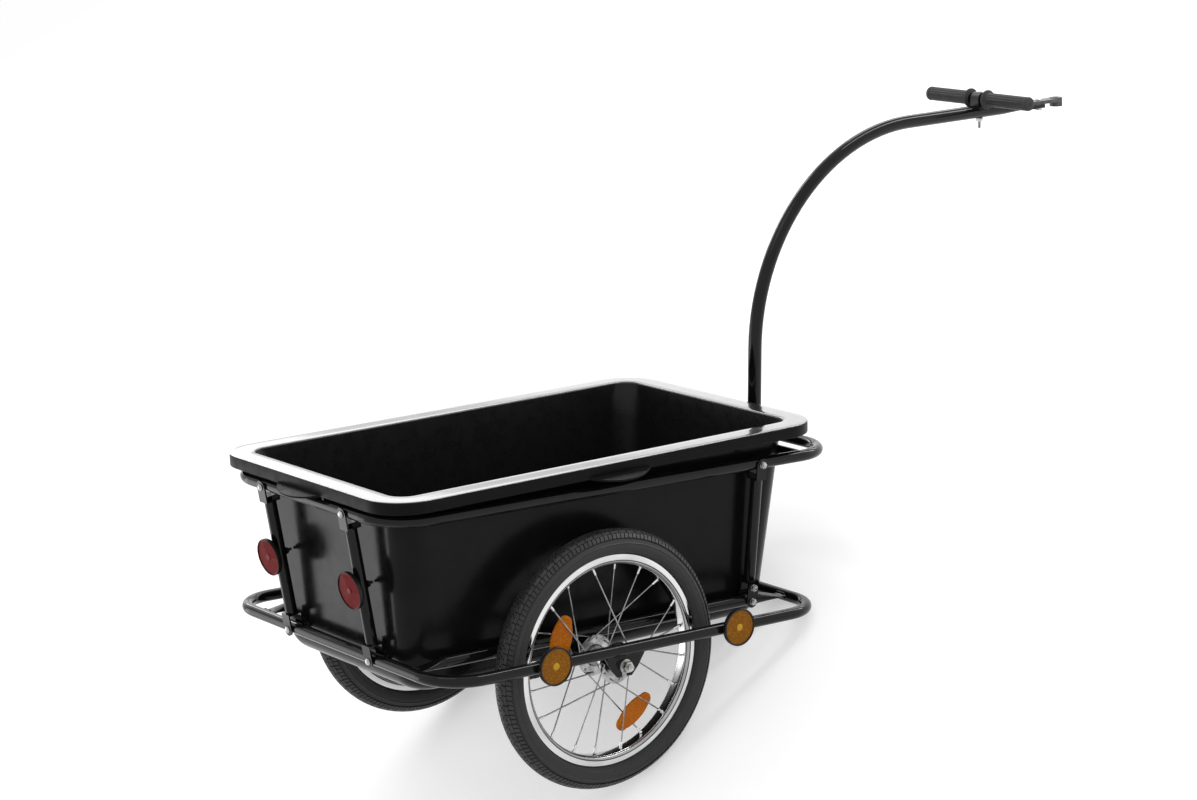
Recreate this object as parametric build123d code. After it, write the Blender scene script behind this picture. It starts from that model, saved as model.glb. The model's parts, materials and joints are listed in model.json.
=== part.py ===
"""Bicycle trailer: plastic tub on a round tube frame, two spoked wheels, bent drawbar with a T-handle.

Everything is drawn level about the axle line: X forward, Y left, Z up, origin midway between the wheels.
The finished trailer is then tipped nose down about the axle until it meets the floor, because it has no
stand, and moved so that the floor is Z = 0 and the origin is under the middle of its outline.
"""
from build123d import *
import math
import os

# ---------------------------------------------------------------- driving dimensions, mm
TUBE_D = 18.0             # frame tubes, outside
SEAT_GAP = 0.3            # between bolted or butted pieces

TUB_L = 798.0             # rim, outside
TUB_W = 478.0
TUB_CORNER_R = 65.0
TUB_DEPTH = 305.0
TUB_WALL = 3.0
TUB_LEAN_SIDE = 24.0      # how far each wall leans in over the depth
TUB_LEAN_REAR = 36.0
TUB_LEAN_FRONT = 34.0
TUB_SHOULDER = 25.0       # below the rim, where the wall corners reach their full round
TUB_SHOULDER_ROUND = 13.0  # wall corners grow by this much down to the shoulder
TUB_FOOT_ROUND = 19.0     # and by this much down to the foot
TUB_BOTTOM_R = 32.0
TUB_REAR_X = -369.5       # rear edge of the rim
TUB_REAR_Z = 279.5        # its height above the axle
TUB_TILT = 1.65           # front of the rim stands higher, degrees
RIM_FLAT_W = 37.5
LIP_DROP = 18.5
TAB_L = 114.0             # half-moon finger tabs on the lip
TAB_OUT = 24.0
TAB_T = 3.0
TAB_DROOP = 14.0          # degrees
RIB_T = 4.0               # ribs under the rear rim that rest on the hoop
RIB_Y = 60.0

HOOP_INSET = 28.5         # upper hoop, the tube's side towards the tub, inside the sides of the rim
HOOP_REAR_INSET = 22.0
HOOP_FRONT_REACH = 41.8   # ahead of the front edge of the rim
HOOP_BELOW_RIM = 32.0     # below the rear edge of the rim
HOOP_CORNER_R = 72.0
CROSS_TUBE_D = 16.0

LOOP_FRONT_INSET = 42.0   # lower loop, tube centre line behind the front edge of the rim
LOOP_REAR_INSET = 64.0    # the tube's side towards the tub, ahead of the rear edge of the rim
LOOP_Z = 24.5
LOOP_CORNER_R = 66.0
LOOP_SEAM_X = 59.0
INNER_INSET = 49.0        # inner tubes, the side towards the tub, inside the sides of the rim
INNER_Z = 30.0
WHEEL_BAY = 89.0          # inner tube to loop side, centre to centre
SQUASHED_T = 6.0          # squashed tube ends
SQUASHED_W = 24.0
SQUASH_L = 48.0
SQUASHED_Z = 26.5

POST_BOLT_D = 6.0
BOLT_HEAD_D = 11.0
BOLT_HEAD_T = 3.5
NUT_T = 4.5
THIN_NUT_T = 3.5          # between a post and the tub
BRACKET_T = 2.5           # U brackets at the ends of the posts
BRACKET_W = 20.0
BRACKET_REACH = 22.0      # tube centre to the inside of the bridge
LONG_REACH = 30.0         # the same on the low bracket of a side post
LONG_BOLT_UP = 22.0       # its second bolt
REAR_POST_Y = 108.0
SIDE_POST_X = 310.0

TYRE_R = 195.0            # wheel radius over the tread
TYRE_WIDTH = 45.0
TYRE_WALL = 4.0
RIM_R = 159.5             # rim over its side walls
RIM_WIDTH = 27.0
RIM_DEPTH = 13.0
RIM_GAUGE = 2.6
SPOKES_PER_FLANGE = 10
SPOKE_D = 2.2
SPOKE_CROSS = 2.0         # lead of a spoke at the rim, in steps
SPOKE_TURN = 1.5          # where the pattern starts, degrees
FLANGE_R = 31.0
FLANGE_HOLE_R = 26.0
FLANGE_T = 2.6
FLANGE_EDGE_T = 1.2
FLANGE_Y = 25.5           # inner face of a flange from the wheel's centre plane
HUB_SHELL_R = 15.0
HUB_END_R = 12.0
CONE_L = 5.0              # bearing cone between the hub's end and the axle plate
AXLE_R = 5.0
AXLE_FIT = 0.05           # running clearance, radial
AXLE_PLATE_T = 3.0
AXLE_PLATE_W = 73.0
AXLE_SLOT_GAP = 0.1
AXLE_NUT_T = 8.0
AXLE_WASHER_T = 2.2
AXLE_TAIL = 5.0

DRAWBAR_D = 22.0
DRAWBAR_BEND_R = 342.0
DRAWBAR_BEND_Z = 372.0    # where the long bend begins
DRAWBAR_RISE = 2.4        # of the run after the bend, degrees
DRAWBAR_KNEE_R = 60.0
DRAWBAR_KNEE_Z = 196.0    # below this it leans back to the loop
DRAWBAR_FOOT_OUT = 31.0   # root of the squashed foot ahead of the loop
DRAWBAR_FOOT_UP = 27.0
RUN_ROUND_L = 212.0       # straight run, round part
RUN_SQUASH_L = 45.0
RUN_FLAT_L = 52.0
RUN_FLAT_W = 28.0
RUN_FLAT_DROP = 5.0       # middle of the flat end below the tube's centre line

HANDLE_AT = 160.0         # along the straight run
HANDLE_RISE = 2.2         # cross bar above the drawbar
HANDLE_BAR_D = 16.0
HANDLE_HALF = 114.0
GRIP_IN = 18.0            # inner end of a grip from the middle
GRIP_R = 11.7
GRIP_CAP = 4.0
GRIP_FLANGE_R = 16.0
GRIP_FLANGE_T = 4.0
CLAMP_W = 28.0
CLAMP_L = 27.0

TONGUE_W = 24.0
TONGUE_T = 6.0
TONGUE_BACK = 39.0        # how far it lies on the flat end
TONGUE_AHEAD = 33.0       # hitch eye ahead of the flat end
EYE_BOSS_R = 11.0
EYE_BOSS_H = 15.0
HITCH_EYE_R = 5.0
TONGUE_BOLT_BACK = 10.0

REFLECTOR_D = 57.0
REFLECTOR_T = 9.0
REFLECTOR_RIM = 2.5
REFLECTOR_RECESS = 1.2
REFLECTOR_BOSS_D = 14.0
REAR_BOSS_L = 3.6
SIDE_BOSS_L = 0.0
SIDE_REFLECTORS_X = (-136.2, 204.6)
SIDE_REFLECTOR_Z = 26.5
REAR_REFLECTORS_Z = {-1: 135.5, 1: 141.7}  # the left one is bolted a little higher
SPOKE_REFLECTOR_L = 73.0
SPOKE_REFLECTOR_W = 32.0
SPOKE_REFLECTOR_T = 6.0
SPOKE_REFLECTOR_END_W = 21.0
SPOKE_REFLECTOR_LEAN = 20.0  # its hub side leans to the outer flange, degrees
# degrees round the wheel, radius, aside, turn in degrees
SPOKE_REFLECTORS = ((152.6, 94.5, 2.6, 11.6), (-60.2, 102.9, 1.55, 5.9))

# ---------------------------------------------------------------- derived
TUBE_R = TUBE_D / 2
CROSS_TUBE_R = CROSS_TUBE_D / 2
DRAWBAR_R = DRAWBAR_D / 2
HANDLE_BAR_R = HANDLE_BAR_D / 2
TILT = math.radians(TUB_TILT)
HOOP_Y = TUB_W / 2 - HOOP_INSET + TUBE_R
HOOP_Z = TUB_REAR_Z - HOOP_BELOW_RIM
HOOP_REAR_X = TUB_REAR_X + HOOP_REAR_INSET - TUBE_R
HOOP_FRONT_X = TUB_REAR_X + TUB_L * math.cos(TILT) + HOOP_FRONT_REACH
LOOP_FRONT_X = TUB_REAR_X + TUB_L - LOOP_FRONT_INSET
LOOP_REAR_X = TUB_REAR_X + LOOP_REAR_INSET - TUBE_R
INNER_Y = TUB_W / 2 - INNER_INSET + TUBE_R
LOOP_Y = INNER_Y + WHEEL_BAY
WHEEL_Y = INNER_Y + WHEEL_BAY / 2
PLATE_FACE = WHEEL_BAY / 2 - AXLE_PLATE_T / 2
HUB_END_Y = PLATE_FACE - CONE_L
RIM_INNER_R = RIM_R - RIM_DEPTH - 3.0
DRAWBAR_X = HOOP_FRONT_X + TUBE_R + SEAT_GAP + DRAWBAR_R
WHEEL_SIDES = {"right": -1, "left": 1}

# the straight run of the drawbar: X along it, Z square to it
SWEPT = math.radians(90.0 - DRAWBAR_RISE)
RUN_START = Vector(
    DRAWBAR_X + DRAWBAR_BEND_R * (1 - math.cos(SWEPT)), 0, DRAWBAR_BEND_Z + DRAWBAR_BEND_R * math.sin(SWEPT)
)
RUN_DIR = Vector(math.sin(SWEPT), 0, math.cos(SWEPT))
RUN_UP = Vector(-math.cos(SWEPT), 0, math.sin(SWEPT))
RUN = Plane(origin=RUN_START, x_dir=RUN_DIR, z_dir=RUN_UP)
RUN_END = RUN_ROUND_L + RUN_SQUASH_L + RUN_FLAT_L


# ---------------------------------------------------------------- shared shapes
def rod(start, end, radius):
    """A round bar from one point to another."""
    a = Vector(*start)
    b = Vector(*end)
    base = Plane(origin=a, z_dir=(b - a))
    return base * Pos(0, 0, (b - a).length / 2) * Cylinder(radius, (b - a).length)


def tube_along(path, radius):
    """A round tube, drawn solid, swept along a path."""
    start = Plane(origin=path @ 0, z_dir=path % 0)
    return sweep(start * Circle(radius), path=path)


def ring_sketch(length, width, corner, wall):
    """A rounded rectangle frame of the given wall."""
    outer = RectangleRounded(length, width, corner)
    inner = RectangleRounded(length - 2 * wall, width - 2 * wall, corner - wall)
    return outer - inner


def spun(profile, side):
    """Turn a profile drawn as (offset along the axle, radius) about the axle."""
    face = make_face(Plane.YZ * profile)
    return Pos(0, side * WHEEL_Y, 0) * revolve(face, Axis.Y)


# ---------------------------------------------------------------- wheels
def tyre(side):
    """A round-crowned tyre, open inside, on the wheel's own axis."""
    half = TYRE_WIDTH / 2
    mouth = RIM_WIDTH / 2 - RIM_GAUGE - SEAT_GAP
    bead_r = RIM_R - RIM_DEPTH + 6.0
    wide_r = RIM_R + (TYRE_R - RIM_R) * 0.32
    shoulder_r = TYRE_R - 12.0
    shoulder = half - 3.5
    crown = ThreePointArc((shoulder, shoulder_r), (0.0, TYRE_R), (-shoulder, shoulder_r))
    ceiling = ThreePointArc(
        (-shoulder + TYRE_WALL, shoulder_r - 3.0),
        (0.0, TYRE_R - TYRE_WALL - 2.5),
        (shoulder - TYRE_WALL, shoulder_r - 3.0),
    )
    right = Polyline(
        (shoulder - TYRE_WALL, shoulder_r - 3.0),
        (half - TYRE_WALL, wide_r),
        (half - TYRE_WALL - 2.5, RIM_R + 6.5),
        (mouth - 2.5, RIM_R + 2.0),
        (mouth - 2.5, bead_r),
        (mouth, bead_r),
        (mouth, RIM_R + SEAT_GAP),
        (half - 2.5, RIM_R + 4.0),
        (half, wide_r),
        (half - 0.5, (wide_r + shoulder_r) / 2),
        (shoulder, shoulder_r),
    )
    left = Polyline(
        (-shoulder, shoulder_r),
        (-half + 0.5, (wide_r + shoulder_r) / 2),
        (-half, wide_r),
        (-half + 2.5, RIM_R + 4.0),
        (-mouth, RIM_R + SEAT_GAP),
        (-mouth, bead_r),
        (-mouth + 2.5, bead_r),
        (-mouth + 2.5, RIM_R + 2.0),
        (-half + TYRE_WALL + 2.5, RIM_R + 6.5),
        (-half + TYRE_WALL, wide_r),
        (-shoulder + TYRE_WALL, shoulder_r - 3.0),
    )
    return spun(crown + left + ceiling + right, side)


def rim(side):
    """A box section rim with raised side walls."""
    half = RIM_WIDTH / 2
    floor_r = RIM_R - RIM_DEPTH
    profile = Polyline(
        (half, RIM_R),
        (half, floor_r + 2.0),
        (half - 4.0, RIM_INNER_R),
        (-half + 4.0, RIM_INNER_R),
        (-half, floor_r + 2.0),
        (-half, RIM_R),
        (-half + RIM_GAUGE, RIM_R),
        (-half + RIM_GAUGE, floor_r + 4.0),
        (half - RIM_GAUGE, floor_r + 4.0),
        (half - RIM_GAUGE, RIM_R),
        close=True,
    )
    return spun(profile, side)


def hub(side):
    """A hub with two thin-edged flanges that runs on the fixed axle."""
    bore = AXLE_R + AXLE_FIT
    back = FLANGE_Y + FLANGE_T
    edge = FLANGE_Y + FLANGE_EDGE_T
    half = [
        (HUB_END_Y, bore),
        (HUB_END_Y, HUB_END_R),
        (back + 5.0, HUB_END_R),
        (back + 2.0, HUB_SHELL_R),
        (back, HUB_SHELL_R + 1.0),
        (back, FLANGE_HOLE_R - 3.5),
        (edge, FLANGE_R),
        (FLANGE_Y, FLANGE_R),
        (FLANGE_Y, HUB_SHELL_R + 2.0),
        (FLANGE_Y - 3.5, HUB_SHELL_R),
    ]
    mirrored = [(-y, r) for y, r in reversed(half)]
    return spun(Polyline(*half, *mirrored, close=True), side)


def spokes(side):
    """Crossed spokes: every other one starts outside its flange, with an elbow towards it."""
    found = []
    step = 360 / SPOKES_PER_FLANGE
    rim_r = RIM_INNER_R - SEAT_GAP - 0.15
    inner_y = FLANGE_Y - SPOKE_D / 2 - 0.15
    outer_y = FLANGE_Y + FLANGE_T + SPOKE_D / 2 + 1.9
    face_y = FLANGE_Y + FLANGE_T - 0.3
    for flange in (-1, 1):
        for k in range(SPOKES_PER_FLANGE):
            lead = flange if k % 2 == 0 else -flange
            at_hub = math.radians(SPOKE_TURN + k * step + flange * step / 4)
            at_rim = at_hub + math.radians(lead * SPOKE_CROSS * step)
            hub_y = outer_y if lead > 0 else inner_y
            x = FLANGE_HOLE_R * math.cos(at_hub)
            z = FLANGE_HOLE_R * math.sin(at_hub)
            start = (x, side * WHEEL_Y + flange * hub_y, z)
            end = (rim_r * math.cos(at_rim), side * WHEEL_Y + flange * 2.5, rim_r * math.sin(at_rim))
            spoke = rod(start, end, SPOKE_D / 2)
            if lead > 0:
                spoke = spoke + rod(start, (x, side * WHEEL_Y + flange * face_y, z), SPOKE_D / 2)
            found.append(spoke)
    return Compound(children=found)


def axle(side):
    """The fixed axle with its cones, washers and nuts."""
    face = PLATE_FACE + AXLE_PLATE_T
    reach = face + AXLE_WASHER_T + AXLE_NUT_T + AXLE_TAIL
    middle = side * WHEEL_Y
    bar = rod((0, middle - reach, 0), (0, middle + reach, 0), AXLE_R)
    for way in (-1, 1):
        seat = Plane(origin=(0, middle, 0), x_dir=(1, 0, 0), z_dir=(0, way, 0))
        cone_l = CONE_L - SEAT_GAP - 0.1
        cone = seat * Pos(0, 0, HUB_END_Y + SEAT_GAP + cone_l / 2) * Cylinder(HUB_END_R, cone_l)
        washer = seat * Pos(0, 0, face + 0.1 + AXLE_WASHER_T / 2) * Cylinder(10.5, AXLE_WASHER_T)
        nut = seat * Pos(0, 0, face + AXLE_WASHER_T) * extrude(RegularPolygon(8.7, 6), AXLE_NUT_T)
        bar = bar + cone + washer + nut
    return bar


def spoke_reflectors(side):
    """Two leaning oval reflectors between the two layers of spokes, each against one of them."""
    found = []
    tip = SPOKE_REFLECTOR_L / 2
    wide = SPOKE_REFLECTOR_W / 2
    end = SPOKE_REFLECTOR_END_W / 2
    neck = tip - end
    long_sides = ThreePointArc((-neck, end), (0, wide), (neck, end))
    long_sides += ThreePointArc((neck, -end), (0, -wide), (-neck, -end))
    round_ends = ThreePointArc((neck, end), (tip, 0), (neck, -end))
    round_ends += ThreePointArc((-neck, -end), (-tip, 0), (-neck, end))
    plate = extrude(make_face(long_sides + round_ends), SPOKE_REFLECTOR_T / 2, both=True)
    for angle, radius, aside, turn in SPOKE_REFLECTORS:
        standing = Plane(origin=(0, side * WHEEL_Y - aside, 0), x_dir=(1, 0, 0), z_dir=(0, -1, 0))
        place = standing * Rot(0, 0, angle) * Pos(radius, 0, 0) * Rot(0, 0, 90 + turn)
        found.append(place * Rot(SPOKE_REFLECTOR_LEAN, 0, 0) * plate)
    return Compound(children=found)


# ---------------------------------------------------------------- frame tubes
def half_loop(x_end, way):
    """One U of the lower loop, from seam to seam."""
    seam = LOOP_SEAM_X + way * SEAT_GAP / 2
    path = FilletPolyline(
        (seam, -LOOP_Y, LOOP_Z),
        (x_end, -LOOP_Y, LOOP_Z),
        (x_end, LOOP_Y, LOOP_Z),
        (seam, LOOP_Y, LOOP_Z),
        radius=LOOP_CORNER_R,
    )
    return tube_along(path, TUBE_R)


def upper_hoop(radius):
    """The closed ring under the rim of the tub."""
    middle = (HOOP_FRONT_X + HOOP_REAR_X) / 2
    outline = RectangleRounded(HOOP_FRONT_X - HOOP_REAR_X, 2 * HOOP_Y, HOOP_CORNER_R)
    return tube_along((Pos(middle, 0, HOOP_Z) * outline).wire(), radius)


def front_wall_x(z):
    """Where the outside of the tub's front wall is at a height above the axle."""
    slope = TUB_LEAN_FRONT / TUB_DEPTH
    top = TUB_L - RIM_FLAT_W + TUB_WALL
    down = (z - TUB_REAR_Z - top * math.sin(TILT)) / (slope * math.sin(TILT) + math.cos(TILT))
    return TUB_REAR_X + (top + slope * down) * math.cos(TILT) - down * math.sin(TILT)


def cross_tube():
    """The straight tube across the hoop, coped to it, against the tub's front wall."""
    lean = math.atan(TUB_LEAN_FRONT / TUB_DEPTH) - TILT
    x = front_wall_x(HOOP_Z) + (CROSS_TUBE_R + SEAT_GAP) / math.cos(lean)
    reach = HOOP_Y - TUBE_R / 2
    return rod((x, -reach, HOOP_Z), (x, reach, HOOP_Z), CROSS_TUBE_R) - upper_hoop(TUBE_R + SEAT_GAP)


def inner_tube(side):
    """A long tube beside the tub, squashed at both ends where it butts on the lower loop."""
    y = side * INNER_Y
    butt = TUBE_R + SEAT_GAP
    rear = LOOP_REAR_X + butt
    front = LOOP_FRONT_X - butt
    body = rod((rear + SQUASH_L, y, INNER_Z), (front - SQUASH_L, y, INNER_Z), TUBE_R)
    for tip, way in ((rear, -1), (front, 1)):
        root = Plane(origin=(tip - way * SQUASH_L, y, INNER_Z), x_dir=(0, 1, 0), z_dir=(way, 0, 0))
        mouth = Plane(origin=(tip - way * 10.0, y, SQUASHED_Z), x_dir=(0, 1, 0), z_dir=(way, 0, 0))
        blend = loft([root * Circle(TUBE_R), mouth * Ellipse(SQUASHED_W / 2, SQUASHED_T / 2)], ruled=True)
        flat = mouth * extrude(Ellipse(SQUASHED_W / 2, SQUASHED_T / 2), 10.0)
        body = body + blend + flat
    return body


# ---------------------------------------------------------------- posts, plates and their bolts
def rear_post_ends(side):
    """Bolt centres of a rear post, loop first, and the way its tubes run."""
    y = side * REAR_POST_Y
    return (LOOP_REAR_X, y, LOOP_Z), (HOOP_REAR_X, y, HOOP_Z), (0, 1, 0)


def side_post_ends(side):
    """Bolt centres of a side post, inner tube first, and the way its tubes run."""
    return (SIDE_POST_X, side * INNER_Y, INNER_Z), (SIDE_POST_X, side * HOOP_Y, HOOP_Z), (1, 0, 0)


def bracket_planes(low, high, along):
    """Frames at both bolts of a post: Z up or down the post, X along the tube it straddles."""
    way = (Vector(*high) - Vector(*low)).normalized()
    return Plane(origin=low, x_dir=along, z_dir=way), Plane(origin=high, x_dir=along, z_dir=-way)


def bracketed_post(low, high, along, low_reach):
    """A tube between two U brackets."""
    foot, head = bracket_planes(low, high, along)
    a = foot.origin + foot.z_dir * (low_reach + BRACKET_T / 2)
    b = head.origin + head.z_dir * (BRACKET_REACH + BRACKET_T / 2)
    body = rod(tuple(a), tuple(b), TUBE_R)
    return body + foot * u_bracket(low_reach) + head * u_bracket(BRACKET_REACH)


def u_bracket(reach):
    """A strap bent to a U: two ears with round ends about the bolt, and the bridge between them."""
    inside = TUBE_R + SEAT_GAP
    bridge = Pos(0, 0, reach + BRACKET_T / 2) * Box(BRACKET_W, 2 * (inside + BRACKET_T), BRACKET_T)
    body = bridge
    ear = Pos(0, reach / 2) * Rectangle(BRACKET_W, reach + 0.2) + Circle(BRACKET_W / 2)
    for y in (inside, -inside - BRACKET_T):
        upright = Plane(origin=(0, y + BRACKET_T, 0), x_dir=(1, 0, 0), z_dir=(0, -1, 0))
        body = body + extrude(upright * ear, BRACKET_T)
    return body


def bolt(frame, up, out, nut_out):
    """The two ends of a bolt through a bracket: its head, and a nut, with the bolt's tail if it shows."""
    centre = frame.origin + frame.z_dir * up
    reach = TUBE_R + SEAT_GAP + BRACKET_T + 0.1
    faces = {}
    for way in (-1, 1):
        axis = frame.y_dir * (way * out)
        faces[way] = Plane(origin=centre + axis * reach, z_dir=axis)
    head = faces[-1 if nut_out else 1] * Pos(0, 0, BOLT_HEAD_T / 2) * Cylinder(BOLT_HEAD_D / 2, BOLT_HEAD_T)
    if not nut_out:
        return [head, faces[-1] * extrude(RegularPolygon(BOLT_HEAD_D / 2, 6), THIN_NUT_T)]
    nut = faces[1] * extrude(RegularPolygon(BOLT_HEAD_D / 2, 6), NUT_T)
    tail = faces[1] * Pos(0, 0, (NUT_T + 2.5) / 2) * Cylinder(POST_BOLT_D / 2, NUT_T + 2.5)
    return [head, nut + tail]


def frame_bolts():
    """The bolts of the posts, the drawbar and the coupling."""
    found = []
    for side in (-1, 1):
        foot, head = bracket_planes(*rear_post_ends(side))
        found += bolt(foot, 0, out_sign(foot, (-1, 0, 0)), False)
        found += bolt(head, 0, out_sign(head, (-1, 0, 0)), False)
        foot, head = bracket_planes(*side_post_ends(side))
        found += bolt(foot, 0, out_sign(foot, (0, side, 0)), True)
        found += bolt(foot, LONG_BOLT_UP, out_sign(foot, (0, side, 0)), True)
        found += bolt(head, 0, out_sign(head, (0, side, 0)), True)
    top = Pos(DRAWBAR_X + DRAWBAR_R + 0.1 + BOLT_HEAD_T / 2, 0, HOOP_Z) * Rot(0, 90, 0)
    foot_z = LOOP_Z + TUBE_R + SEAT_GAP + SQUASHED_T + 0.1 + BOLT_HEAD_T / 2
    for place in (top, Pos(LOOP_FRONT_X, 0, foot_z)):
        found.append(place * Cylinder(BOLT_HEAD_D / 2, BOLT_HEAD_T))
    at = RUN_END - TONGUE_BOLT_BACK
    flat_top = -RUN_FLAT_DROP + SQUASHED_T / 2
    over = flat_top + TONGUE_T + 0.2
    under = flat_top - SQUASHED_T - 0.1
    found.append(RUN * Pos(at, 0, over + BOLT_HEAD_T / 2) * Cylinder(BOLT_HEAD_D / 2, BOLT_HEAD_T))
    nut = RUN * Pos(at, 0, under - NUT_T) * extrude(RegularPolygon(BOLT_HEAD_D / 2 + 1.0, 6), NUT_T)
    found.append(nut)
    return Compound(children=found)


def out_sign(frame, out):
    """Whether a bracket's Y points outwards or inwards."""
    return 1 if frame.y_dir.dot(Vector(*out)) > 0 else -1


def axle_plate(y, top):
    """A tapered plate welded under a tube, with an open slot below for the axle."""
    half = AXLE_PLATE_W / 2
    outline = Polyline(
        (-half, top),
        (half, top),
        (24.0, -4.0),
        (13.0, -16.0),
        (-13.0, -16.0),
        (-24.0, -4.0),
        close=True,
    )
    fit = AXLE_R + AXLE_SLOT_GAP
    slot = Pos(0, -10.0) * Rectangle(2 * fit, 20.0) + Circle(fit)
    flat = Plane(origin=(0, y + AXLE_PLATE_T / 2, 0), x_dir=(1, 0, 0), z_dir=(0, -1, 0))
    return extrude(flat * (make_face(outline) - slot), AXLE_PLATE_T)


# ---------------------------------------------------------------- tub
def tub():
    """An open box with leaning walls, a flat rim, a down-turned lip and half-moon finger tabs."""
    top_l = TUB_L - 2 * RIM_FLAT_W
    top_w = TUB_W - 2 * RIM_FLAT_W
    corner = TUB_CORNER_R - RIM_FLAT_W
    outside = tub_shell(top_l + 2 * TUB_WALL, top_w + 2 * TUB_WALL, corner + TUB_WALL, 0.0, TUB_BOTTOM_R)
    inside = tub_shell(top_l, top_w, corner, TUB_WALL, TUB_BOTTOM_R - TUB_WALL)
    flat = Pos(0, 0, -TUB_WALL) * extrude(ring_sketch(TUB_L, TUB_W, TUB_CORNER_R, RIM_FLAT_W), TUB_WALL)
    lip = Pos(0, 0, -LIP_DROP) * extrude(ring_sketch(TUB_L, TUB_W, TUB_CORNER_R, TUB_WALL), LIP_DROP)
    body = outside + flat + lip
    for turn, reach in ((0, TUB_L / 2), (180, TUB_L / 2), (90, TUB_W / 2), (-90, TUB_W / 2)):
        body = body + Rot(0, 0, turn) * Pos(reach, 0, -LIP_DROP + TAB_T / 2) * finger_tab()
    for y in (-RIB_Y, RIB_Y):
        body = body + Pos(0, y, 0) * rear_rib()
    body = body - inside
    middle = Pos(TUB_L / 2, 0, 0)
    return Pos(TUB_REAR_X, 0, TUB_REAR_Z) * Rot(0, -TUB_TILT, 0) * middle * body


def tub_shell(length, width, corner, lift, bottom_r):
    """A leaning box from the rim plane down, closed at the foot; lift shortens it from below."""
    sections = []
    for depth, more in ((TUB_DEPTH - lift, TUB_FOOT_ROUND), (TUB_SHOULDER, TUB_SHOULDER_ROUND), (0.0, 0.0)):
        share = depth / TUB_DEPTH
        rear = TUB_LEAN_REAR * share
        front = TUB_LEAN_FRONT * share
        side = TUB_LEAN_SIDE * share
        ring = RectangleRounded(length - rear - front, width - 2 * side, corner + more)
        sections.append(Pos((rear - front) / 2, 0, -depth) * ring)
    solid = loft(sections, ruled=True)
    low = solid.edges().group_by(Axis.Z)[0]
    return fillet(low, bottom_r)


def finger_tab():
    """Part of a disc standing out from the lip and drooping."""
    radius = (TAB_OUT ** 2 + (TAB_L / 2) ** 2) / (2 * TAB_OUT)
    disc = Pos(TAB_OUT - radius, 0, 0) * Cylinder(radius, TAB_T)
    keep = Pos((TAB_OUT - TUB_WALL + 0.5) / 2, 0, 0) * Box(TAB_OUT + TUB_WALL - 0.5, TAB_L, TAB_T)
    return Rot(0, TAB_DROOP, 0) * (disc & keep)


def rear_rib():
    """A web under the rear of the rim whose foot rests on the hoop."""
    seat = HOOP_Z + TUBE_R + SEAT_GAP
    drop = (TUB_REAR_Z + (HOOP_REAR_INSET - TUBE_R) * math.sin(TILT) - seat) / math.cos(TILT)
    back = -TUB_L / 2 + TUB_WALL / 2
    front = -TUB_L / 2 + RIM_FLAT_W
    return Pos((back + front) / 2, 0, -drop / 2 - 0.5) * Box(front - back, RIB_T, drop - 1.0)


# ---------------------------------------------------------------- drawbar, handle and coupling
def drawbar():
    """A tube with a squashed foot on the loop, upright past the hoop, then a long bend to a flat end."""
    foot_z = LOOP_Z + TUBE_R + SEAT_GAP + SQUASHED_T / 2
    root = Vector(LOOP_FRONT_X + DRAWBAR_FOOT_OUT, 0, foot_z + DRAWBAR_FOOT_UP)
    lower = FilletPolyline(
        (root.X, 0, root.Z),
        (DRAWBAR_X, 0, DRAWBAR_KNEE_Z),
        (DRAWBAR_X, 0, DRAWBAR_BEND_Z),
        radius=DRAWBAR_KNEE_R,
    )
    bend = TangentArc((DRAWBAR_X, 0, DRAWBAR_BEND_Z), tuple(RUN_START), tangent=(0, 0, 1))
    upper = bend + Line(tuple(RUN_START), tuple(RUN_START + RUN_DIR * RUN_ROUND_L))
    body = tube_along(lower, DRAWBAR_R) + tube_along(upper, DRAWBAR_R)
    return body + drawbar_foot(root, foot_z) + drawbar_end()


def drawbar_foot(root, foot_z):
    """The squashed foot that lies on the front tube of the loop."""
    lean = Vector(root.X - DRAWBAR_X, 0, root.Z - DRAWBAR_KNEE_Z)
    mouth_x = LOOP_FRONT_X + 14.0
    start = Plane(origin=root, x_dir=(0, 1, 0), z_dir=lean) * Circle(DRAWBAR_R)
    mouth = Plane(origin=(mouth_x, 0, foot_z), x_dir=(0, 1, 0), z_dir=(-1, 0, 0))
    blend = loft([start, mouth * Ellipse(RUN_FLAT_W / 2, SQUASHED_T / 2)], ruled=True)
    length = mouth_x - LOOP_FRONT_X + TUBE_R
    flat = Pos(mouth_x - length / 2, 0, foot_z) * Box(length, RUN_FLAT_W - 3.0, SQUASHED_T)
    return blend + flat


def drawbar_end():
    """The front end, squashed from round to flat."""
    root = Plane(origin=RUN_START + RUN_DIR * RUN_ROUND_L, x_dir=(0, 1, 0), z_dir=RUN_DIR)
    far = RUN_START + RUN_DIR * (RUN_ROUND_L + RUN_SQUASH_L) - RUN_UP * RUN_FLAT_DROP
    mouth = Plane(origin=far, x_dir=(0, 1, 0), z_dir=RUN_DIR)
    blend = loft([root * Circle(DRAWBAR_R), mouth * Ellipse(RUN_FLAT_W / 2, SQUASHED_T / 2)], ruled=True)
    flat = Pos(RUN_END - (RUN_FLAT_L + 4.0) / 2, 0, -RUN_FLAT_DROP) * Box(
        RUN_FLAT_L + 4.0, RUN_FLAT_W - 3.0, SQUASHED_T
    )
    flat = fillet(flat.edges().filter_by(Axis.Z).group_by(Axis.X)[-1], 9.0)
    return blend + RUN * flat


def on_handle():
    """The frame of the handle: Y along its cross bar, at its centre line."""
    return RUN * Pos(HANDLE_AT, 0, DRAWBAR_R + HANDLE_RISE + HANDLE_BAR_R)


def cross_rod(start, end, radius):
    """A round bar along the handle, between two distances from its middle."""
    return on_handle() * rod((0, start, 0), (0, end, 0), radius)


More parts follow.
